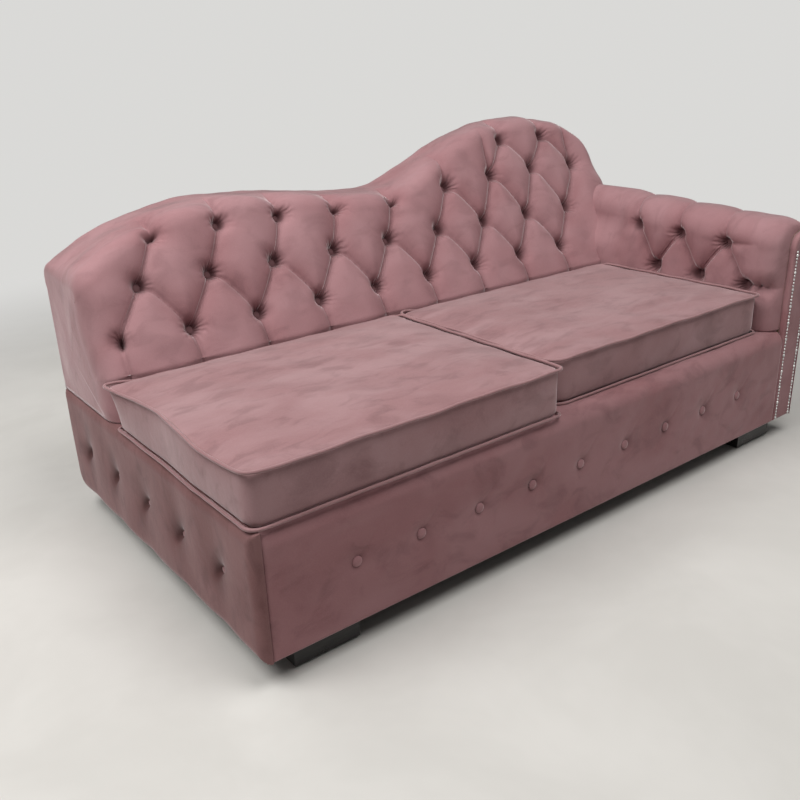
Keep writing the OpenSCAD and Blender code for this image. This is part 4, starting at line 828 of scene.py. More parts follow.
# The arm's pad: up the inner wall and over the roll, which is wider by the pad's thickness. It is
# thin at the front edge and where it meets the back, whose lean its last columns take.
def buildArm():
    a = armForm
    foot = couch["deck"] + a["deckGap"]
    c = np.linspace(a["y0"], couch["back"] - a["backGap"], a["cols"])[:, None]
    wallZ = np.linspace(foot, couch["armZ"], a["wallRows"], endpoint=False)[None, :]
    turn = np.linspace(0, math.pi, a["archRows"])[None, :]
    swell = lerp(a["thin"], 1, quarter((c - a["y0"]) / a["swell"]))
    slope = couch["armSlope"] * np.clip((wallZ - couch["deck"]) / (couch["armZ"] - couch["deck"]), 0, 1)
    tuck = a["tuck"] * rise(c, couch["back"] - a["tuckReach"], a["tuckReach"])
    share = np.clip((c - (couch["back"] - a["bend"])) / a["bend"], 0, 1)
    wallX = couch["armX"] - couch["armPad"] * swell * (1 - tuck * rise(wallZ, *a["tuckZ"]))
    wallTop = wallZ + slope * c
    t = armThickness(turn, tuck)
    r = couch["armR"] + t * swell
    roll = couch["armZ"] + couch["armSlope"] * c
    x = np.concatenate([wallX, couch["armMid"] - r * np.cos(turn)], 1)
    z = np.concatenate([wallTop, roll + r * np.sin(turn)], 1)
    base = np.stack([x, lerp(c + 0 * z, backMeet(z), share), z], -1)
    normals = gridNormals(base, (a["cols"] // 2, a["wallRows"] // 2), 0)
    flat = np.concatenate([c + 0 * wallZ, c + 0 * turn], 1)
    place = np.concatenate([wallTop, roll + (couch["armR"] + t) * turn], 1)
    field = tuftField(flat, place, armFolds(), armLow + armHigh, armTufts)
    depth, archFade = field[0], 1 - rise(turn, *a["archFade"])
    wallFade, wallRim = (rise(wallZ, couch["deck"], a[key]) for key in ("wallFade", "wallRim"))
    fade = np.concatenate([wallFade, archFade], 1) * rise(c, a["y0"], a["frontFade"])
    rim = rise(c, a["y0"], a["frontRim"]) * np.concatenate([wallRim, archFade], 1)
    pillow = a["pillow"] * np.clip(1 - depth / a["pillowDepth"], 0, 1)
    out = pillow * fade + uneven(flat, place, *a["kinds"]) * rim
    points = base + normals * (out - depth * fade)[..., None]
    points[:, :, 1] = np.minimum(points[:, :, 1], backMeet(points[:, :, 2]))
    # Closes the section inside the frame
    first, end = points[:, :1], points[:, -1:]
    low = np.concatenate([end, end], 1)
    low[:, :, 0] = couch["armMid"] + couch["armR"] - a["gap"]
    low[:, 1, 1] = np.minimum(c[:, 0], couch["back"] - a["gap"])
    low[:, 1, 2] = foot
    rings = np.concatenate([points, low, lerp(low[:, 1:], first, 0.5)], 1)
    middles = rings[0, :, 1].mean(), backMeet(a["midZ"])
    ends = np.array([[couch["armMid"], y, a["midZ"]] for y in middles])
    return makeTube("tuftedArm", rings, ends, tuftValues(field, fade, 0, 3))


finishPiece(buildArm(), root, tuftVelvet, ["arm_pad"])
armButtonX = couch["armX"] - couch["armPad"] + armTufts["pit"] - pitLift
armPlaces = [np.array([armButtonX, y, z]) for y, z in armLow + armHigh]
finishPiece(
    buildButtons("armButtons", armPlaces, [(-1, 0, 0)] * len(armPlaces)), root, pitShadeVelvet,
    ["arm_buttons"])
print("arm done", flush=True)


# dimpleShade and frontDimpleShade are how much painted shade a dimple gets for its depth
panelForm = dict(
    crownReach=80.0, waveReach=30.0, shade=0.12, shadeWave=90.0, shadeSeed=5, dimpleShade=0.10,
    frontDimpleShade=0.08)


# Places across a width: close together over its rounded rims, even between them
def rimmed(width, edge, count, steps=6):
    near = (1 - np.cos(np.linspace(0, math.pi / 2, steps, endpoint=False))) * edge
    return np.concatenate([near, np.linspace(edge, width - edge, count), (width - near)[::-1]])


# Dimples pressed into a panel: each an oval bell, turned by its angle, with painted shade that is darker the
# deeper it is
def pressDimples(u, v, out, lift, dimples, dark):
    for a, b, wide, tall, deep, turn in dimples:
        da, db = u - a, v - b
        ra = da * math.cos(turn) + db * math.sin(turn)
        rb = -da * math.sin(turn) + db * math.cos(turn)
        dip = np.exp(-((ra / wide) ** 2 + (rb / tall) ** 2))
        out, lift = out - deep * dip, lift - dark * deep * dip
    return out, lift


# A soft flat panel: a slab over an outline in two directions, its face crowned and its rim a quarter
# circle. axes gives the world direction of across, up and out.
def buildPanel(name, cfg, dimples=(), shape=None):
    f, edge, (w, h, t) = panelForm, cfg["edge"], cfg["size"]
    u, v = np.meshgrid(rimmed(w, edge, cfg["count"][0]), rimmed(h, edge, cfg["count"][1]), indexing="ij")
    toEdge = np.minimum(np.minimum(u, w - u), np.minimum(v, h - v))
    out = t * lerp(cfg["low"], 1, quarter(toEdge / edge))
    out = out + cfg["crown"] * smooth(toEdge / f["crownReach"])
    out = out + cfg["uneven"] * waves(u, v, cfg["wave"], cfg["seed"]) * smooth(toEdge / f["waveReach"])
    lift = f["shade"] * waves(u, v, f["shadeWave"], cfg["seed"] + f["shadeSeed"])
    out, lift = pressDimples(u, v, out, lift, dimples, f["dimpleShade"])
    if shape:
        u, v = shape(u, v)
    faceSide, rearSide = (np.stack([u, v, a], -1).reshape(-1, 3) for a in (out, 0 * u))
    points = np.concatenate([faceSide, rearSide]) @ np.array(cfg["axes"], float) + np.array(cfg["at"])
    n, m = u.shape
    faces = gridFaces(n, m) + [face[::-1] for face in gridFaces(n, m, first=n * m)]
    ring = np.concatenate([
        np.arange(m), (np.arange(1, n) + 1) * m - 1, (n - 1) * m + np.arange(m - 2, -1, -1),
        np.arange(n - 2, 0, -1) * m])
    following = np.roll(ring, -1)
    faces += np.stack([ring, following, following + n * m, ring + n * m], -1).tolist()
    lifts = np.concatenate([lift.reshape(-1), 0 * lift.reshape(-1)])
    return makeMesh(name, points, outward(points, faces), {"lift": lifts})


# A panel's dimples are each an offset from the button, two widths, a depth and a turn. The front's
# are a small one, a wide one and a crease up to the right; the side's lean as its cloth is drawn.
frontPanel = dict(
    w=1748.0, t=22.0, flat=248.0, roll=62.8, lap=20.0, edge=9.0, rimSteps=5, count=(400, 78), bend=40.0,
    low=0.72, inner=1.0, rimReach=40.0, kinds=((230.0, 21, 0.9), (70.0, 22, 0.4)), shade=(100.0, 23, 0.10),
    at=(22.0, 25.0, couch["base"]), buttons=9, first=229.0, pitch=166.0, buttonZ=200.0, buttonIn=6.0,
    dimples=((0, 0, 17.0, 17.0, 5.5, 0.0), (0, 0, 52.0, 34.0, 2.0, 0.0), (24, 26, 44.0, 4.5, 1.2, 0.85)))
sidePanel = dict(
    size=(1027.0, 288.0, 22.0), count=(220, 62), edge=27.0, low=0.06, crown=0.0, seed=31, uneven=0.9,
    wave=200.0, axes=[(0, 1, 0), (0, 0, 1), (-1, 0, 0)], at=(22.0, 3.0, couch["base"]), cornerR=50.0,
    draw=4.5, drawReach=42.0, drawUp=120.0, buttons=5, first=166.0, pitch=184.0, buttonZ=193.0,
    buttonX=18.2, buttonSize=(8.0, 3.6),
    dimples=((0, 0, 8.5, 23.0, 10.5, 0.75), (2, 5, 20.0, 36.0, 4.5, 0.7), (0, 10, 52.0, 96.0, 5.0, 0.2)))


# A panel's row of buttons, evenly apart along it at one height
def buttonRow(f):
    return [(f["first"] + f["pitch"] * k, f["buttonZ"]) for k in range(f["buttons"])]


frontButtons, sideButtons = buttonRow(frontPanel), buttonRow(sidePanel)


# Each dimple of a panel that begins at start, by each of its buttons
def dimplesAt(buttons, start, dimples):
    return [
        (x - start + a, z - couch["base"] + b, *rest) for x, z in buttons for a, b, *rest in dimples]


# The front's top rolls back over the rail: past the flat part, its height goes round a quarter
# circle, whose radius is less the deeper a point lies, and then it runs straight back
def frontShape(u, v, out):
    f = frontPanel
    bend, height = f["bend"], couch["deck"] - couch["base"] - f["bend"]
    t = np.clip((v - height) / (bend * math.pi / 2), 0, 1) * math.pi / 2
    past = np.maximum(0, v - height - bend * math.pi / 2)
    depth = f["t"] - out
    r = bend - depth
    up = np.where(v < height, v, height + r * np.sin(t))
    inward = np.where(v < height, depth, bend - r * np.cos(t)) + past
    return np.stack([u, up, f["t"] - inward], -1)


# The side's bottom edge is drawn up in a bell under each button, and its rear bottom corner is round
def sideShape(u, v):
    f = sidePanel
    for y, _ in sideButtons:
        bell = np.exp(-(((u - y + f["at"][1]) / f["drawReach"]) ** 2))
        v = v + f["draw"] * bell * (1 - smooth(v / f["drawUp"]))
    w, r = f["size"][0], f["cornerR"]
    du, dv = np.maximum(0, u - (w - r)), np.maximum(0, r - v)
    k = np.where((du > 0) & (dv > 0), np.maximum(du, dv) / np.maximum(np.hypot(du, dv), 1e-6), 1.0)
    return np.where(du > 0, w - r + du * k, u), np.where(dv > 0, r - dv * k, v)


# The front panel: cloth of even thickness with a quarter-round rim and dimples, bent over the rail.
# The bend needs the flat cloth's own thickness, so the hidden side follows it as well.
def buildFront():
    f = frontPanel
    w, h, edge = f["w"], f["flat"] + f["roll"] + f["lap"], f["edge"]
    rim, farRim = (np.linspace(a, b, f["rimSteps"], endpoint=False) for a, b in ((0, edge), (w, w - edge)))
    us = np.concatenate([rim, np.linspace(edge, w - edge, f["count"][0]), farRim[::-1]])
    u, v = np.meshgrid(us, np.concatenate([rim, np.linspace(edge, h, f["count"][1])]), indexing="ij")
    toEdge = np.minimum(np.minimum(u, w - u), v)
    out = f["t"] * lerp(f["low"], 1, quarter(toEdge / edge))
    out = out + uneven(u, v, *f["kinds"]) * smooth(toEdge / f["rimReach"])
    lift = uneven(u, v, f["shade"])
    dimples = dimplesAt(frontButtons, f["at"][0], f["dimples"])
    out, lift = pressDimples(u, v, out, lift, dimples, panelForm["frontDimpleShade"])
    outer, inner = frontShape(u, v, out), frontShape(u, v, 0 * out + f["inner"])
    rings = np.concatenate([outer, inner[:, ::-1]], 1)
    rings = rings[..., [0, 2, 1]] * np.array([1, -1, 1]) + np.array(f["at"])
    values = {"lift": np.concatenate([lift, 0 * lift], 1)}
    return makeTube("frontPanel", rings, rings[[0, -1]].mean(1), values)


finishPiece(buildFront(), root, bodyVelvet, ["front_panel"])
sideDimples = dimplesAt(sideButtons, sidePanel["at"][1], sidePanel["dimples"])
finishPiece(
    buildPanel("sidePanel", sidePanel, sideDimples, sideShape), root, sideShadeVelvet,
    ["side_panel"])
frontPlaces = [np.array([x, couch["front"] + frontPanel["buttonIn"], z]) for x, z in frontButtons]
sidePlaces = [np.array([sidePanel["buttonX"], y, z]) for y, z in sideButtons]
finishPiece(
    buildButtons("frontButtons", frontPlaces, [(0, -1, 0.05)] * len(frontPlaces)), root,
    trimVelvet, ["front_buttons"])
finishPiece(
    buildButtons("sideButtons", sidePlaces, [(-1, 0, 0.05)] * len(sidePlaces), *sidePanel["buttonSize"]),
    root, trimVelvet, ["side_buttons"])
print("base done", flush=True)


plateForm = dict(
    low=0.25, firstRow=0.004, edge=4.0, bulgeReach=120.0, size=0.6, wave=220.0, waveReach=50.0, shade=0.12,
    shadeWave=120.0)


# A plate of cloth with an arched or sloping top, columns along and rows up: a share of its thickness
# at the rim, all of it inside, and a slow swell. plane gives the directions of along, out and up.
def buildPlate(name, bottoms, tops, across, rows, thick, plane, at, seed, bulge=0.0):
    f = plateForm
    vs = np.concatenate([[0], np.linspace(f["firstRow"], 1 - f["firstRow"], rows - 2), [1]])[None, :]
    u = across[:, None] + 0 * vs
    low, high = bottoms[:, None], tops[:, None]
    v = lerp(low, high, vs)
    toEdge = np.minimum(np.minimum(u - across[0], across[-1] - u), np.minimum(v - low, high - v))
    out = thick * lerp(f["low"], 1, quarter(toEdge / f["edge"])) + bulge * smooth(toEdge / f["bulgeReach"])
    out = out + f["size"] * waves(u, v, f["wave"], seed) * smooth(toEdge / f["waveReach"])
    lift = f["shade"] * waves(u, v, f["shadeWave"], seed + 1)
    outer, inner = np.stack([u, out, v], -1), np.stack([u, 0 * out, v], -1)[:, ::-1]
    rings = np.concatenate([outer, inner], 1) @ np.array(plane, float) + np.array(at)
    values = {"lift": np.concatenate([lift, 0 * lift], 1)}
    return makeTube(name, rings, rings[[0, -1]].mean(1), values)


# Columns along a plate: even stretches, each from a place to a place in so many points
def stretches(cols):
    return np.concatenate([np.linspace(*stretch) for stretch in cols])


# The rear panel hangs from under the crest to the base, but only to the deck beside the side panel
rearForm = dict(
    cols=((9.0, 15.0, 5), (19.0, 19.0, 1), (21.9, 22.1, 2), (26.0, 1858.0, 190), (1862.0, 1868.0, 5)),
    rows=90, under=51.0, seed=41, bulge=1.5)
rearX = stretches(rearForm["cols"])
rearPanel = buildPlate(
    "rearPanel", np.where(rearX < couch["panel"], couch["deck"], couch["base"]),
    crest(rearX) - rearForm["under"], rearX, rearForm["rows"], couch["cover"],
    [(1, 0, 0), (0, 1, 0), (0, 0, 1)], (0, couch["d"] - couch["cover"], 0), rearForm["seed"],
    rearForm["bulge"])
finishPiece(rearPanel, root, bodyVelvet, ["rear_cover"])

# The arm's outer panel ends a little below the arm's roll, and at the back a little below the deck
outerForm = dict(
    cols=((3.0, 11.0, 5), (15.0, 1010.0, 110), (1014.0, 1021.5, 4)), rows=70, thick=6.0, past=60.0,
    deckGap=0.5, armGap=1.0, seed=51)
outerY = stretches(outerForm["cols"])
outerTop = np.where(
    outerY > couch["back"] + outerForm["past"], couch["deck"] - outerForm["deckGap"],
    couch["armZ"] + couch["armSlope"] * outerY - outerForm["armGap"])
armOuter = buildPlate(
    "armOuterPanel", np.full(len(outerY), couch["base"]), outerTop, outerY, outerForm["rows"],
    outerForm["thick"], [(0, 1, 0), (1, 0, 0), (0, 0, 1)], (couch["armMid"] + couch["armR"], 0, 0),
    outerForm["seed"])
finishPiece(armOuter, root, bodyVelvet, ["arm_outer_panel"])


facingForm = dict(cols=30, rows=120, even=0.6, low=0.66, edge=10.0, kind=(120.0, 55, 0.5), waveReach=20.0)


# The arm's front facing: a soft upright plate with a round head, rows up it and columns across. Its
# rows lie closer together at both ends.
def buildFacing():
    f = facingForm
    r, mid, z0, z1 = couch["armR"], couch["armMid"], couch["base"], couch["armZ"]
    across = r * np.sin(np.linspace(-math.pi / 2, math.pi / 2, f["cols"]))[:, None]
    top = z1 + np.sqrt(np.maximum(r * r - across**2, 0))
    rows = (1 - np.cos(np.linspace(0, math.pi, f["rows"]))) / 2
    z = lerp(z0, top, lerp(rows, np.linspace(0, 1, f["rows"]), f["even"])[None, :])
    x = mid + across + 0 * z
    toEdge = np.minimum(r - np.hypot(across, np.maximum(0, z - z1)), z - z0)
    out = couch["facing"] * lerp(f["low"], 1, quarter(toEdge / f["edge"]))
    out = out + uneven(x, z, f["kind"]) * smooth(toEdge / f["waveReach"])
    back = couch["front"] + couch["facing"]
    outer, inner = np.stack([x, back - out, z], -1), np.stack([x, back + 0 * out, z], -1)
    rings = np.concatenate([outer, inner[:, ::-1]], 1)
    return makeTube("armFacing", rings, rings[[0, -1]].mean(1))


finishPiece(buildFacing(), root, bodyVelvet, ["arm_facing"])


# Domes at places in one piece: rings up a quarter of an ellipse of radius r and height h
def buildDomes(name, places, r, h, cols=12):
    a = circle(cols)
    angles = np.linspace(0, math.pi / 2, 5)[:-1]
    rings = np.stack([
        np.stack([r * math.cos(t) * np.cos(a), np.full(cols, -h * math.sin(t)),
                  r * math.cos(t) * np.sin(a)], -1) for t in angles])
    return scatter(name, rings, [[0, 0, 0.0], [0, -h, 0]], places, [np.eye(3)] * len(places))


# Silver trim: two strips pressed into beads, with a nail in the place of every fifth bead
trim = dict(
    xs=(1782.0, 1852.0), z0=68.0, bead=10.0, count=52, every=5, beadSize=(3.9, 2.3), nailSize=(5.3, 3.4))
strip = [(k % trim["every"] == 0, trim["z0"] + k * trim["bead"]) for k in range(trim["count"])]
beadPlaces, nailPlaces = (
    [(x, couch["front"], z) for x in trim["xs"] for isNail, z in strip if isNail == nail]
    for nail in (False, True))
finishPiece(
    buildDomes("beadTrim", beadPlaces, *trim["beadSize"]), root, silverTrim, ["nail_strips"])
finishPiece(
    buildDomes("nailTrim", nailPlaces, *trim["nailSize"], 16), root, silverTrim,
    ["trim_nails"])
print("arm trim done", flush=True)

# Deck under the cushions
deckPanel = dict(
    size=(1747.0, 644.0, 37.0), count=(120, 60), edge=10.0, low=0.5, crown=0.6, seed=61, uneven=0.4,
    wave=240.0, axes=[(1, 0, 0), (0, 1, 0), (0, 0, 1)], at=(22.5, 65.5, 308.2))
finishPiece(buildPanel("deckPad", deckPanel), root, deckCloth, ["deck_pad"])


# Seat cushions: a crowned form that the cloth simulation blows up, then its piping. radii are the
# corners', anticlockwise from the right rear one.
cushions = {
    "left": dict(
        x0=0.0, y0=3.0, w=826.0, d=637.0, seed=71, wavy=1.0, radii=(24.0, 13.0, 26.0, 18.0),
        ear=(-14.0, 20.0)),
    "right": dict(
        x0=829.0, y0=45.0, w=871.0, d=595.0, seed=81, wavy=0.2, radii=(24.0, 24.0, 52.0, 22.0),
        ear=(0.0, 0.0))}
cushionForm = dict(
    t=120.0, crown=12.0, z=346.4, pipe=3.6, inset=6.0, slack=4.0, over=2.0, lift=0.3, around=240,
    levels=13, lowShares=(0.3, 0.6, 0.85, 0.97), fall=2.6,
    topShares=(0.99, 0.96, 0.91, 0.84, 0.75, 0.64, 0.5, 0.34, 0.17), voxel=8.5, frames=20,
    pressure=4.5, held=7.0, cap=24.0, topGap=3.0, topSoft=8.0, nearSide=80.0, sideReach=90.0,
    swing=7.0, swingX=3.5, swingY=450.0, swingAt=366.0, frontSwing=(290.0, 1.2),
    allSwing=(130.0, 0.7), lag=0.6, lowOver=0.4, lowUp=0.35, roll=6.0, rollY=(-34.0, 24.0),
    rollX=(24.0, 50.0), rollDown=0.8, earReach=55.0, nearTop=(-30.0, 20.0), topRise=6.0,
    wide=(260.0, 1.2), small=(90.0, 0.4), shade=(130.0, 0.16))


# Count points, evenly apart, round an oblong with its own radius at each corner
def cushionOutline(w, d, radii, count):
    parts = []
    for k, ((sx, sy), r) in enumerate(zip(((1, 1), (-1, 1), (-1, -1), (1, -1)), radii)):
        a = math.pi / 2 * (k + np.linspace(0, 1, 24))
        hub = np.array([sx * (w / 2 - r), sy * (d / 2 - r)])
        parts.append(hub + r * np.stack([np.cos(a), np.sin(a)], -1))
    line = np.concatenate(parts + [parts[0][:1]])
    run = np.concatenate([[0], np.cumsum(np.hypot(*np.diff(line, axis=0).T))])
    at = np.linspace(0, run[-1], count, endpoint=False)
    return np.stack([np.interp(at, run, line[:, k]) for k in range(2)], -1)


# A cushion's middle in X and Y
def cushionMiddle(cfg):
    return np.array([cfg["x0"] + cfg["w"] / 2, cfg["y0"] + cfg["d"] / 2])


# Signed distance from a cushion's side, less than zero inside: that of an oblong with round corners
def sideDistance(points, cfg, inset):
    x, y = points[:, 0] - cfg["x0"] - cfg["w"] / 2, points[:, 1] - cfg["y0"] - cfg["d"] / 2
    radii = np.array(cfg["radii"])
    r = radii[np.where(y >= 0, np.where(x >= 0, 0, 1), np.where(x >= 0, 3, 2))]
    qx, qy = np.abs(x) - (cfg["w"] / 2 - inset - r), np.abs(y) - (cfg["d"] / 2 - inset - r)
    return np.hypot(np.maximum(qx, 0), np.maximum(qy, 0)) + np.minimum(np.maximum(qx, qy), 0) - r


# How far a cushion's seams wander sideways and up: a cosine and a sine along the left side, small
# sines at the front and all round, and a share of it all at the lower seam
def seamWander(x, y, cfg, share):
    f = cushionForm
    left = smooth(1 - (x - cfg["x0"] - f["inset"]) / f["sideReach"]) * cfg["wavy"]
    front = smooth(1 - (y - cfg["y0"] - f["inset"]) / f["sideReach"])
    phase = 2 * math.pi * (y - f["swingAt"]) / f["swingY"]
    (frontWave, frontUp), (allWave, allUp) = f["frontSwing"], f["allSwing"]
    up = left * f["swing"] * np.cos(phase)
    up = up + front * frontUp * np.sin(2 * math.pi * x / frontWave + cfg["seed"])
    up = up + allUp * np.sin(2 * math.pi * (x + y) / allWave + cfg["seed"])
    over = left * f["swingX"] * np.sin(phase + f["lag"]) * lerp(f["lowOver"], 1, share)
    return over, lerp(np.abs(f["lowUp"] * up), up, share)


# How far the upper rear seam is rolled under the cloth, eased in towards the rear and from the left
def rearRoll(x, y, cfg):
    f = cushionForm
    return f["roll"] * rise(y - cfg["y0"] - cfg["d"], *f["rollY"]) * rise(x - cfg["x0"], *f["rollX"])


# The upper rear left corner sticks out where the back turns away from it: a bell round that corner
def cornerEar(x, y, cfg, share):
    reach = np.hypot(x - cfg["x0"], y - cfg["y0"] - cfg["d"])
    pull = np.exp(-((reach / cushionForm["earReach"]) ** 2)) * share**2
    return pull[:, None] * np.array(cfg["ear"])


# A cushion before it is blown up: its outline shrunk towards the middle of the bottom, up the sides,
# and shrunk again over the crown, which falls off by a power of the share
def cushionSkin(cfg):
    f = cushionForm
    w, d = (cfg[k] - 2 * f["inset"] - f["slack"] for k in "wd")
    outline = cushionOutline(w, d, cfg["radii"], f["around"])
    bottom, top, swell = f["z"] + f["lift"], f["z"] + f["t"] - f["pipe"], f["crown"] + f["over"]
    levels = [(k, bottom) for k in f["lowShares"]]
    levels += [
        (1.0, f["z"] + f["pipe"] + (f["t"] - 2 * f["pipe"]) * up) for up in np.linspace(0, 1, f["levels"])]
    levels += [(k, top + swell * (1 - k ** f["fall"])) for k in f["topShares"]]
    rings = np.stack([
        np.concatenate([outline * k, np.full((f["around"], 1), z)], -1) for k, z in levels])
    middle = cushionMiddle(cfg)
    rings[..., :2] += middle
    return rings, np.array([[*middle, bottom], [*middle, top + swell]])


# Puts a piece's modifiers into its mesh
def applyModifiers(piece):
    graph = bpy.context.evaluated_depsgraph_get()
    mesh = bpy.data.meshes.new_from_object(piece.evaluated_get(graph))
    old = piece.data
    piece.modifiers.clear()
    piece.data = mesh
    bpy.data.meshes.remove(old)


# A mesh's points in millimetres from the corner, the reverse of toScene
def readPoints(mesh):
    co = np.zeros(len(mesh.vertices) * 3)
    mesh.vertices.foreach_get("co", co)
    return co.reshape(-1, 3) / mm + corner


# The reverse of readPoints
def writePoints(mesh, points):
    mesh.vertices.foreach_set("co", toScene(points).ravel())
    mesh.update()


# Blows a cushion up as cloth, held where the vertex group seam has it
def blowUp(piece):
    cloth = piece.modifiers.new("cloth", "CLOTH")
    settings = cloth.settings
    settings.vertex_group_mass = "seam"
    settings.use_pressure = True
    settings.uniform_pressure_force = cushionForm["pressure"]
    settings.quality, settings.mass = 4, 0.4
    settings.tension_stiffness, settings.compression_stiffness, settings.bending_stiffness = 14, 6, 0.8
    settings.effector_weights.gravity = 0
    cloth.collision_settings.use_self_collision = False
    scene = bpy.context.scene
    for k in range(1, cushionForm["frames"] + 1):
        scene.frame_set(k)
    applyModifiers(piece)
    scene.frame_set(1)


# A blown-up cushion's points, from the rest ones and how far each has moved: the move is capped, the
# sides and the top stay in the cushion's box, and its seams wander, roll under and stick out
def settle(rest, step, inward, cfg):
    f = cushionForm
    low, high = f["z"] + f["pipe"], f["z"] + f["t"] - f["pipe"]
    length = np.linalg.norm(step, axis=1, keepdims=True)
    points = rest + step * np.minimum(1, f["cap"] / np.maximum(length, 1e-9))
    for k, (start, size) in enumerate((("x0", "w"), ("y0", "d"))):
        points[:, k] = np.clip(points[:, k], cfg[start] + 1.0, cfg[start] + cfg[size] - 1.0)
    limit, soft = f["z"] + f["t"] + f["crown"] + f["topGap"], f["topSoft"]
    over = points[:, 2] - limit + soft
    points[:, 2] = np.where(over > 0, limit - soft * np.exp(-np.maximum(over, 0) / soft), points[:, 2])
    nearSide = np.exp(-((np.maximum(inward, 0) / f["nearSide"]) ** 2))
    share = np.clip((rest[:, 2] - low) / (high - low), 0, 1)
    across, up = seamWander(rest[:, 0], rest[:, 1], cfg, share)
    points[:, 0] += across * nearSide
    points[:, 2] += up * nearSide
    nearTop = rise(points[:, 2] - high, *f["nearTop"])
    points[:, :2] += cornerEar(rest[:, 0], rest[:, 1], cfg, share)
    points[:, 1] += f["rollDown"] * rearRoll(points[:, 0], points[:, 1], cfg) * nearSide * nearTop
    kinds = (f["wide"][0], cfg["seed"], f["wide"][1]), (f["small"][0], cfg["seed"] + 1, f["small"][1])
    swells = uneven(points[:, 0], points[:, 1], *kinds)
    points[:, 2] += rise(points[:, 2], high, f["topRise"]) * swells
    points[:, 2] = np.maximum(points[:, 2], f["z"])
    return points


# A cushion: its form in even quads, pinned near its seams, blown up, settled and smoothed
def buildCushion(name, cfg):
    f = cushionForm
    piece = makeTube(name, *cushionSkin(cfg))
    remesh = piece.modifiers.new("remesh", "REMESH")
    remesh.mode = "VOXEL"
    remesh.voxel_size = f["voxel"] * mm
    applyModifiers(piece)
    rest = readPoints(piece.data)
    low, high = f["z"] + f["pipe"], f["z"] + f["t"] - f["pipe"]
    inward = -sideDistance(rest, cfg, f["inset"])
    fromSeam = np.hypot(inward, np.minimum(np.abs(rest[:, 2] - low), np.abs(rest[:, 2] - high)))
    held = piece.vertex_groups.new(name="seam")
    held.add(np.nonzero(fromSeam < f["held"])[0].tolist(), 1.0, "REPLACE")
    blowUp(piece)
    piece.vertex_groups.clear()
    step = readPoints(piece.data) - rest
    print(name, "blown up by", round(float(np.linalg.norm(step, axis=1).max()), 1), "mm", flush=True)
    writePoints(piece.data, settle(rest, step, inward, cfg))
    smoother = piece.modifiers.new("smooth", "SMOOTH")
    smoother.factor, smoother.iterations = 0.5, 4
    divide = piece.modifiers.new("divide", "SUBSURF")
    divide.levels = divide.render_levels = 1
    applyModifiers(piece)
    points = readPoints(piece.data)
    points[:, 2] = np.maximum(points[:, 2], f["z"])
    writePoints(piece.data, points)
    piece.data.polygons.foreach_set("use_smooth", np.ones(len(piece.data.polygons), bool))
    lift = f["shade"][1] * waves(points[:, 0], points[:, 1], f["shade"][0], cfg["seed"] + 3)
    piece.data.attributes.new("lift", "FLOAT", "POINT").data.foreach_set("value", lift.astype(np.float32))
    return piece


pipingForm = dict(around=360, sides=10, gap=0.3, earShare=0.82, uneven=0.05)


# Piping: a round cord along a cushion's lower and upper seams, which follows all that they do
def buildPiping(name, cfg):
    f, g = cushionForm, pipingForm
    inset, count, sides = f["pipe"] + g["gap"], g["around"], g["sides"]
    outline = cushionOutline(cfg["w"] - 2 * inset, cfg["d"] - 2 * inset, cfg["radii"], count)
    angle, turns = circle(count), circle(sides)
    vertical = np.array([0.0, 0.0, 1.0])
    pieces, faces = [], []
    for k, level in enumerate((f["pipe"], f["t"] - f["pipe"])):
        line = np.concatenate([outline + cushionMiddle(cfg), np.full((count, 1), f["z"] + level)], -1)
        across, up = seamWander(line[:, 0], line[:, 1], cfg, float(k))
        line[:, 0] += across
        line[:, 2] += up
        if k:
            roll = rearRoll(line[:, 0], line[:, 1], cfg)
            line[:, :2] += g["earShare"] * cornerEar(line[:, 0], line[:, 1], cfg, 1.0)
            line[:, 1:] -= np.stack([roll, f["rollDown"] * roll], -1)
        tangent = np.roll(line, -1, 0) - np.roll(line, 1, 0)
        tangent /= np.linalg.norm(tangent, axis=1, keepdims=True)
        side = np.cross(tangent, vertical)
        side /= np.linalg.norm(side, axis=1, keepdims=True)
        r = f["pipe"] * (1 + g["uneven"] * waves(angle * 60, 0 * angle, 9.0, cfg["seed"] + k))[:, None, None]
        ring = line[:, None] + r * (
            np.cos(turns)[None, :, None] * side[:, None] + np.sin(turns)[None, :, None] * vertical)
        ring = ring.reshape(-1, 3)
        pieces.append(ring)
        loop = gridFaces(count, sides, closeRows=True, closeCols=True)
        faces += outward(ring, loop, count * sides * k)
    return makeMesh(name, np.concatenate(pieces), faces)


for side, cfg in cushions.items():
    body = side + "_cushion"
    finishPiece(
        buildCushion(side + "Cushion", cfg), body, seatSheenVelvet, [body + "_cover", body + "_core"])
    finishPiece(
        buildPiping(side + "Piping", cfg), body, pipeVelvet, [side + "_piping"])
print("cushions done", flush=True)

# CAD nodes that stay, by material
keep = [
    (blackWood, "feet"), (glideFelt, "foot_glides"), (feltCloth, "deck_felt"), (dustCloth, "dust_cover"),
    (pineWood, "front_rail rear_rail left_rail right_rail spring_rail back_bearer cross_rails "
               "corner_blocks arm_posts back_base_rails"),
    (fibreBoard, "foot_plates arm_inner_board arm_outer_board arm_top_former back_ribs back_kick_board "
                 "back_front_board back_top_board back_rear_board"),
    (springSteel, "foot_bolts zigzag_springs spring_clips arm_bolts back_bolts"),
    (zipTape, "left_zip right_zip")]
for material, names in keep:
    for name in names.split():
        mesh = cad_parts[name].data
        mesh.materials.clear()
        mesh.materials.append(material)

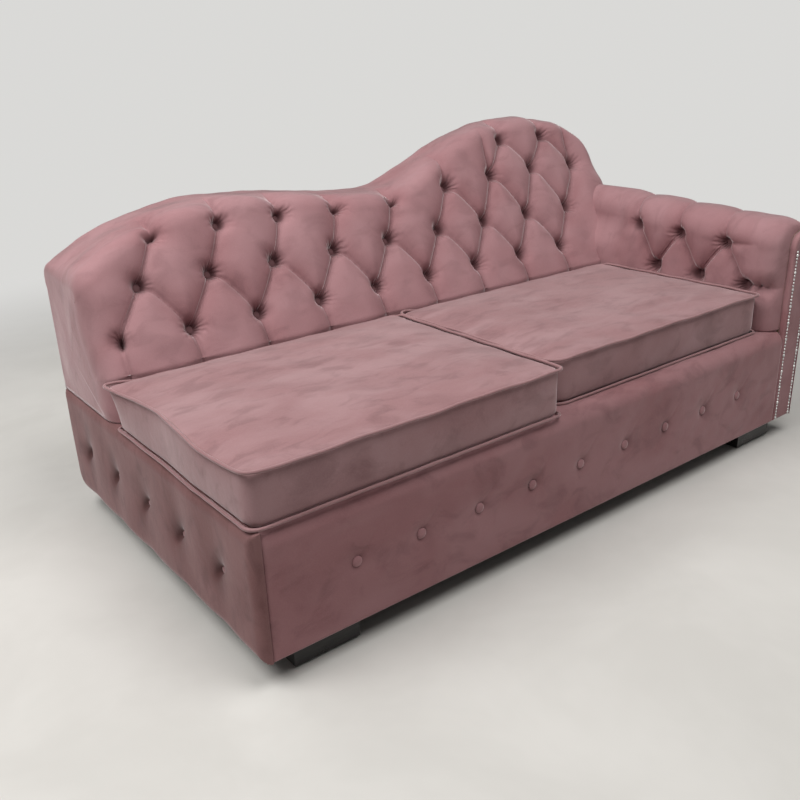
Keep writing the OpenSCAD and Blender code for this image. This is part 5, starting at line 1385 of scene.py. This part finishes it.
# Camera: yaw turns it right of +Y, pitch down and roll round its own axis, in degrees
view = dict(at=(-1.5252, -1.7504, 1.1352), yaw=37.147, pitch=21.737, roll=-2.084, lens=38.925, sensor=36.0)
yaw, pitch, roll = (math.radians(view[k]) for k in ("yaw", "pitch", "roll"))
forward = Vector((math.sin(yaw) * math.cos(pitch), math.cos(yaw) * math.cos(pitch), -math.sin(pitch)))
level = Vector((math.cos(yaw), -math.sin(yaw), 0))
upright = level.cross(forward)
right = math.cos(roll) * level + math.sin(roll) * upright
up = -math.sin(roll) * level + math.cos(roll) * upright
lens = bpy.data.cameras.new("camera")
lens.lens, lens.sensor_width = view["lens"], view["sensor"]
lens.clip_start, lens.clip_end = 0.05, 60.0
camera = bpy.data.objects.new("camera", lens)
turn = Matrix((right, up, -forward)).transposed().to_4x4()
camera.matrix_world = Matrix.Translation(view["at"]) @ turn
bpy.context.scene.collection.objects.link(camera)
bpy.context.scene.camera = camera


# Floor and light
backdrop = (0.70, 0.695, 0.68)
skyForm = dict(color=(0.80, 0.80, 0.79), strength=0.12)
floorForm = dict(
    side=14.0, count=30, dark=(0.60, 0.59, 0.565), light=(0.66, 0.65, 0.625), rough=0.8, fade=(1.5, 3.5))


# A disc of light at a place, turned to a target
def areaLight(name, at, target, size, power, color):
    light = bpy.data.lights.new(name, "AREA")
    light.shape, light.size, light.energy, light.color = "DISK", size, power, color
    lamp = bpy.data.objects.new(name, light)
    lamp.location = at
    lamp.rotation_euler = (Vector(target) - Vector(at)).to_track_quat("-Z", "Y").to_euler()
    bpy.context.scene.collection.objects.link(lamp)


# Share of a ray that sees the backdrop: 1 for camera, glossy and transmission rays, 0 for the rest
def seenShare(tree):
    path = addNode(tree, "ShaderNodeLightPath").outputs
    bounced = calc(tree, "MAXIMUM", path["Is Glossy Ray"], path["Is Transmission Ray"])
    return calc(tree, "MAXIMUM", path["Is Camera Ray"], bounced)


# The output's surface: one shader where share is 0 and another where it is 1
def mixSurface(tree, share, one, other, output):
    mix = addNode(tree, "ShaderNodeMixShader", {0: share, 1: one.outputs[0], 2: other.outputs[0]})
    tree.links.new(mix.outputs[0], tree.nodes[output].inputs["Surface"])


# A floor that fades into the backdrop's colour with its distance from the couch, as the camera sees it
def buildFloor():
    f = floorForm
    g = np.linspace(-f["side"], f["side"], f["count"])
    x, y = np.meshgrid(g, g, indexing="ij")
    points = np.stack([x, y, 0 * x], -1).reshape(-1, 3) / mm + corner
    floor = makeMesh("floor", points, gridFaces(f["count"], f["count"]))
    material, tree, shader = newMaterial("floorMat")
    patches = ramp(tree, noise(tree, 2.2, 4.0, 0.6, 0.3), 0.3, 0.7)
    tree.links.new(mixColor(tree, patches, f["dark"], f["light"]), shader.inputs["Base Color"])
    shader.inputs["Roughness"].default_value = f["rough"]
    coords = objectPlace(tree)
    away = addNode(tree, "ShaderNodeVectorMath", {0: coords}, operation="LENGTH").outputs["Value"]
    share = calc(tree, "MULTIPLY", ramp(tree, away, *f["fade"]), seenShare(tree))
    glow = addNode(tree, "ShaderNodeEmission", {"Color": (*backdrop, 1)})
    mixSurface(tree, share, shader, glow, "Material Output")
    floor.data.materials.append(material)


# The world lights the couch softly and shows the camera the plain backdrop
def buildWorld():
    world = bpy.data.worlds.new("world")
    world.use_nodes = True
    tree = world.node_tree
    light = tree.nodes["Background"]
    light.inputs["Color"].default_value = (*skyForm["color"], 1)
    light.inputs["Strength"].default_value = skyForm["strength"]
    seen = addNode(tree, "ShaderNodeBackground", {"Color": (*backdrop, 1), "Strength": 1.0})
    mixSurface(tree, seenShare(tree), light, seen, "World Output")
    bpy.context.scene.world = world


buildFloor()
warm = (1.0, 0.985, 0.965)
areaLight("key", (-2.4, 0.2, 3.2), (0, 0.1, 0.5), 2.0, 90.0, warm)
areaLight("frontTop", (0.3, -1.6, 4.0), (0.2, 0.0, 0.4), 2.5, 97.0, warm)
areaLight("rearLeft", (-1.3, 1.7, 3.8), (0.0, 0.0, 0.4), 1.5, 20.0, (1.0, 0.99, 0.97))
buildWorld()
bpy.context.scene.view_settings.view_transform = "Standard"
print("stage done", flush=True)
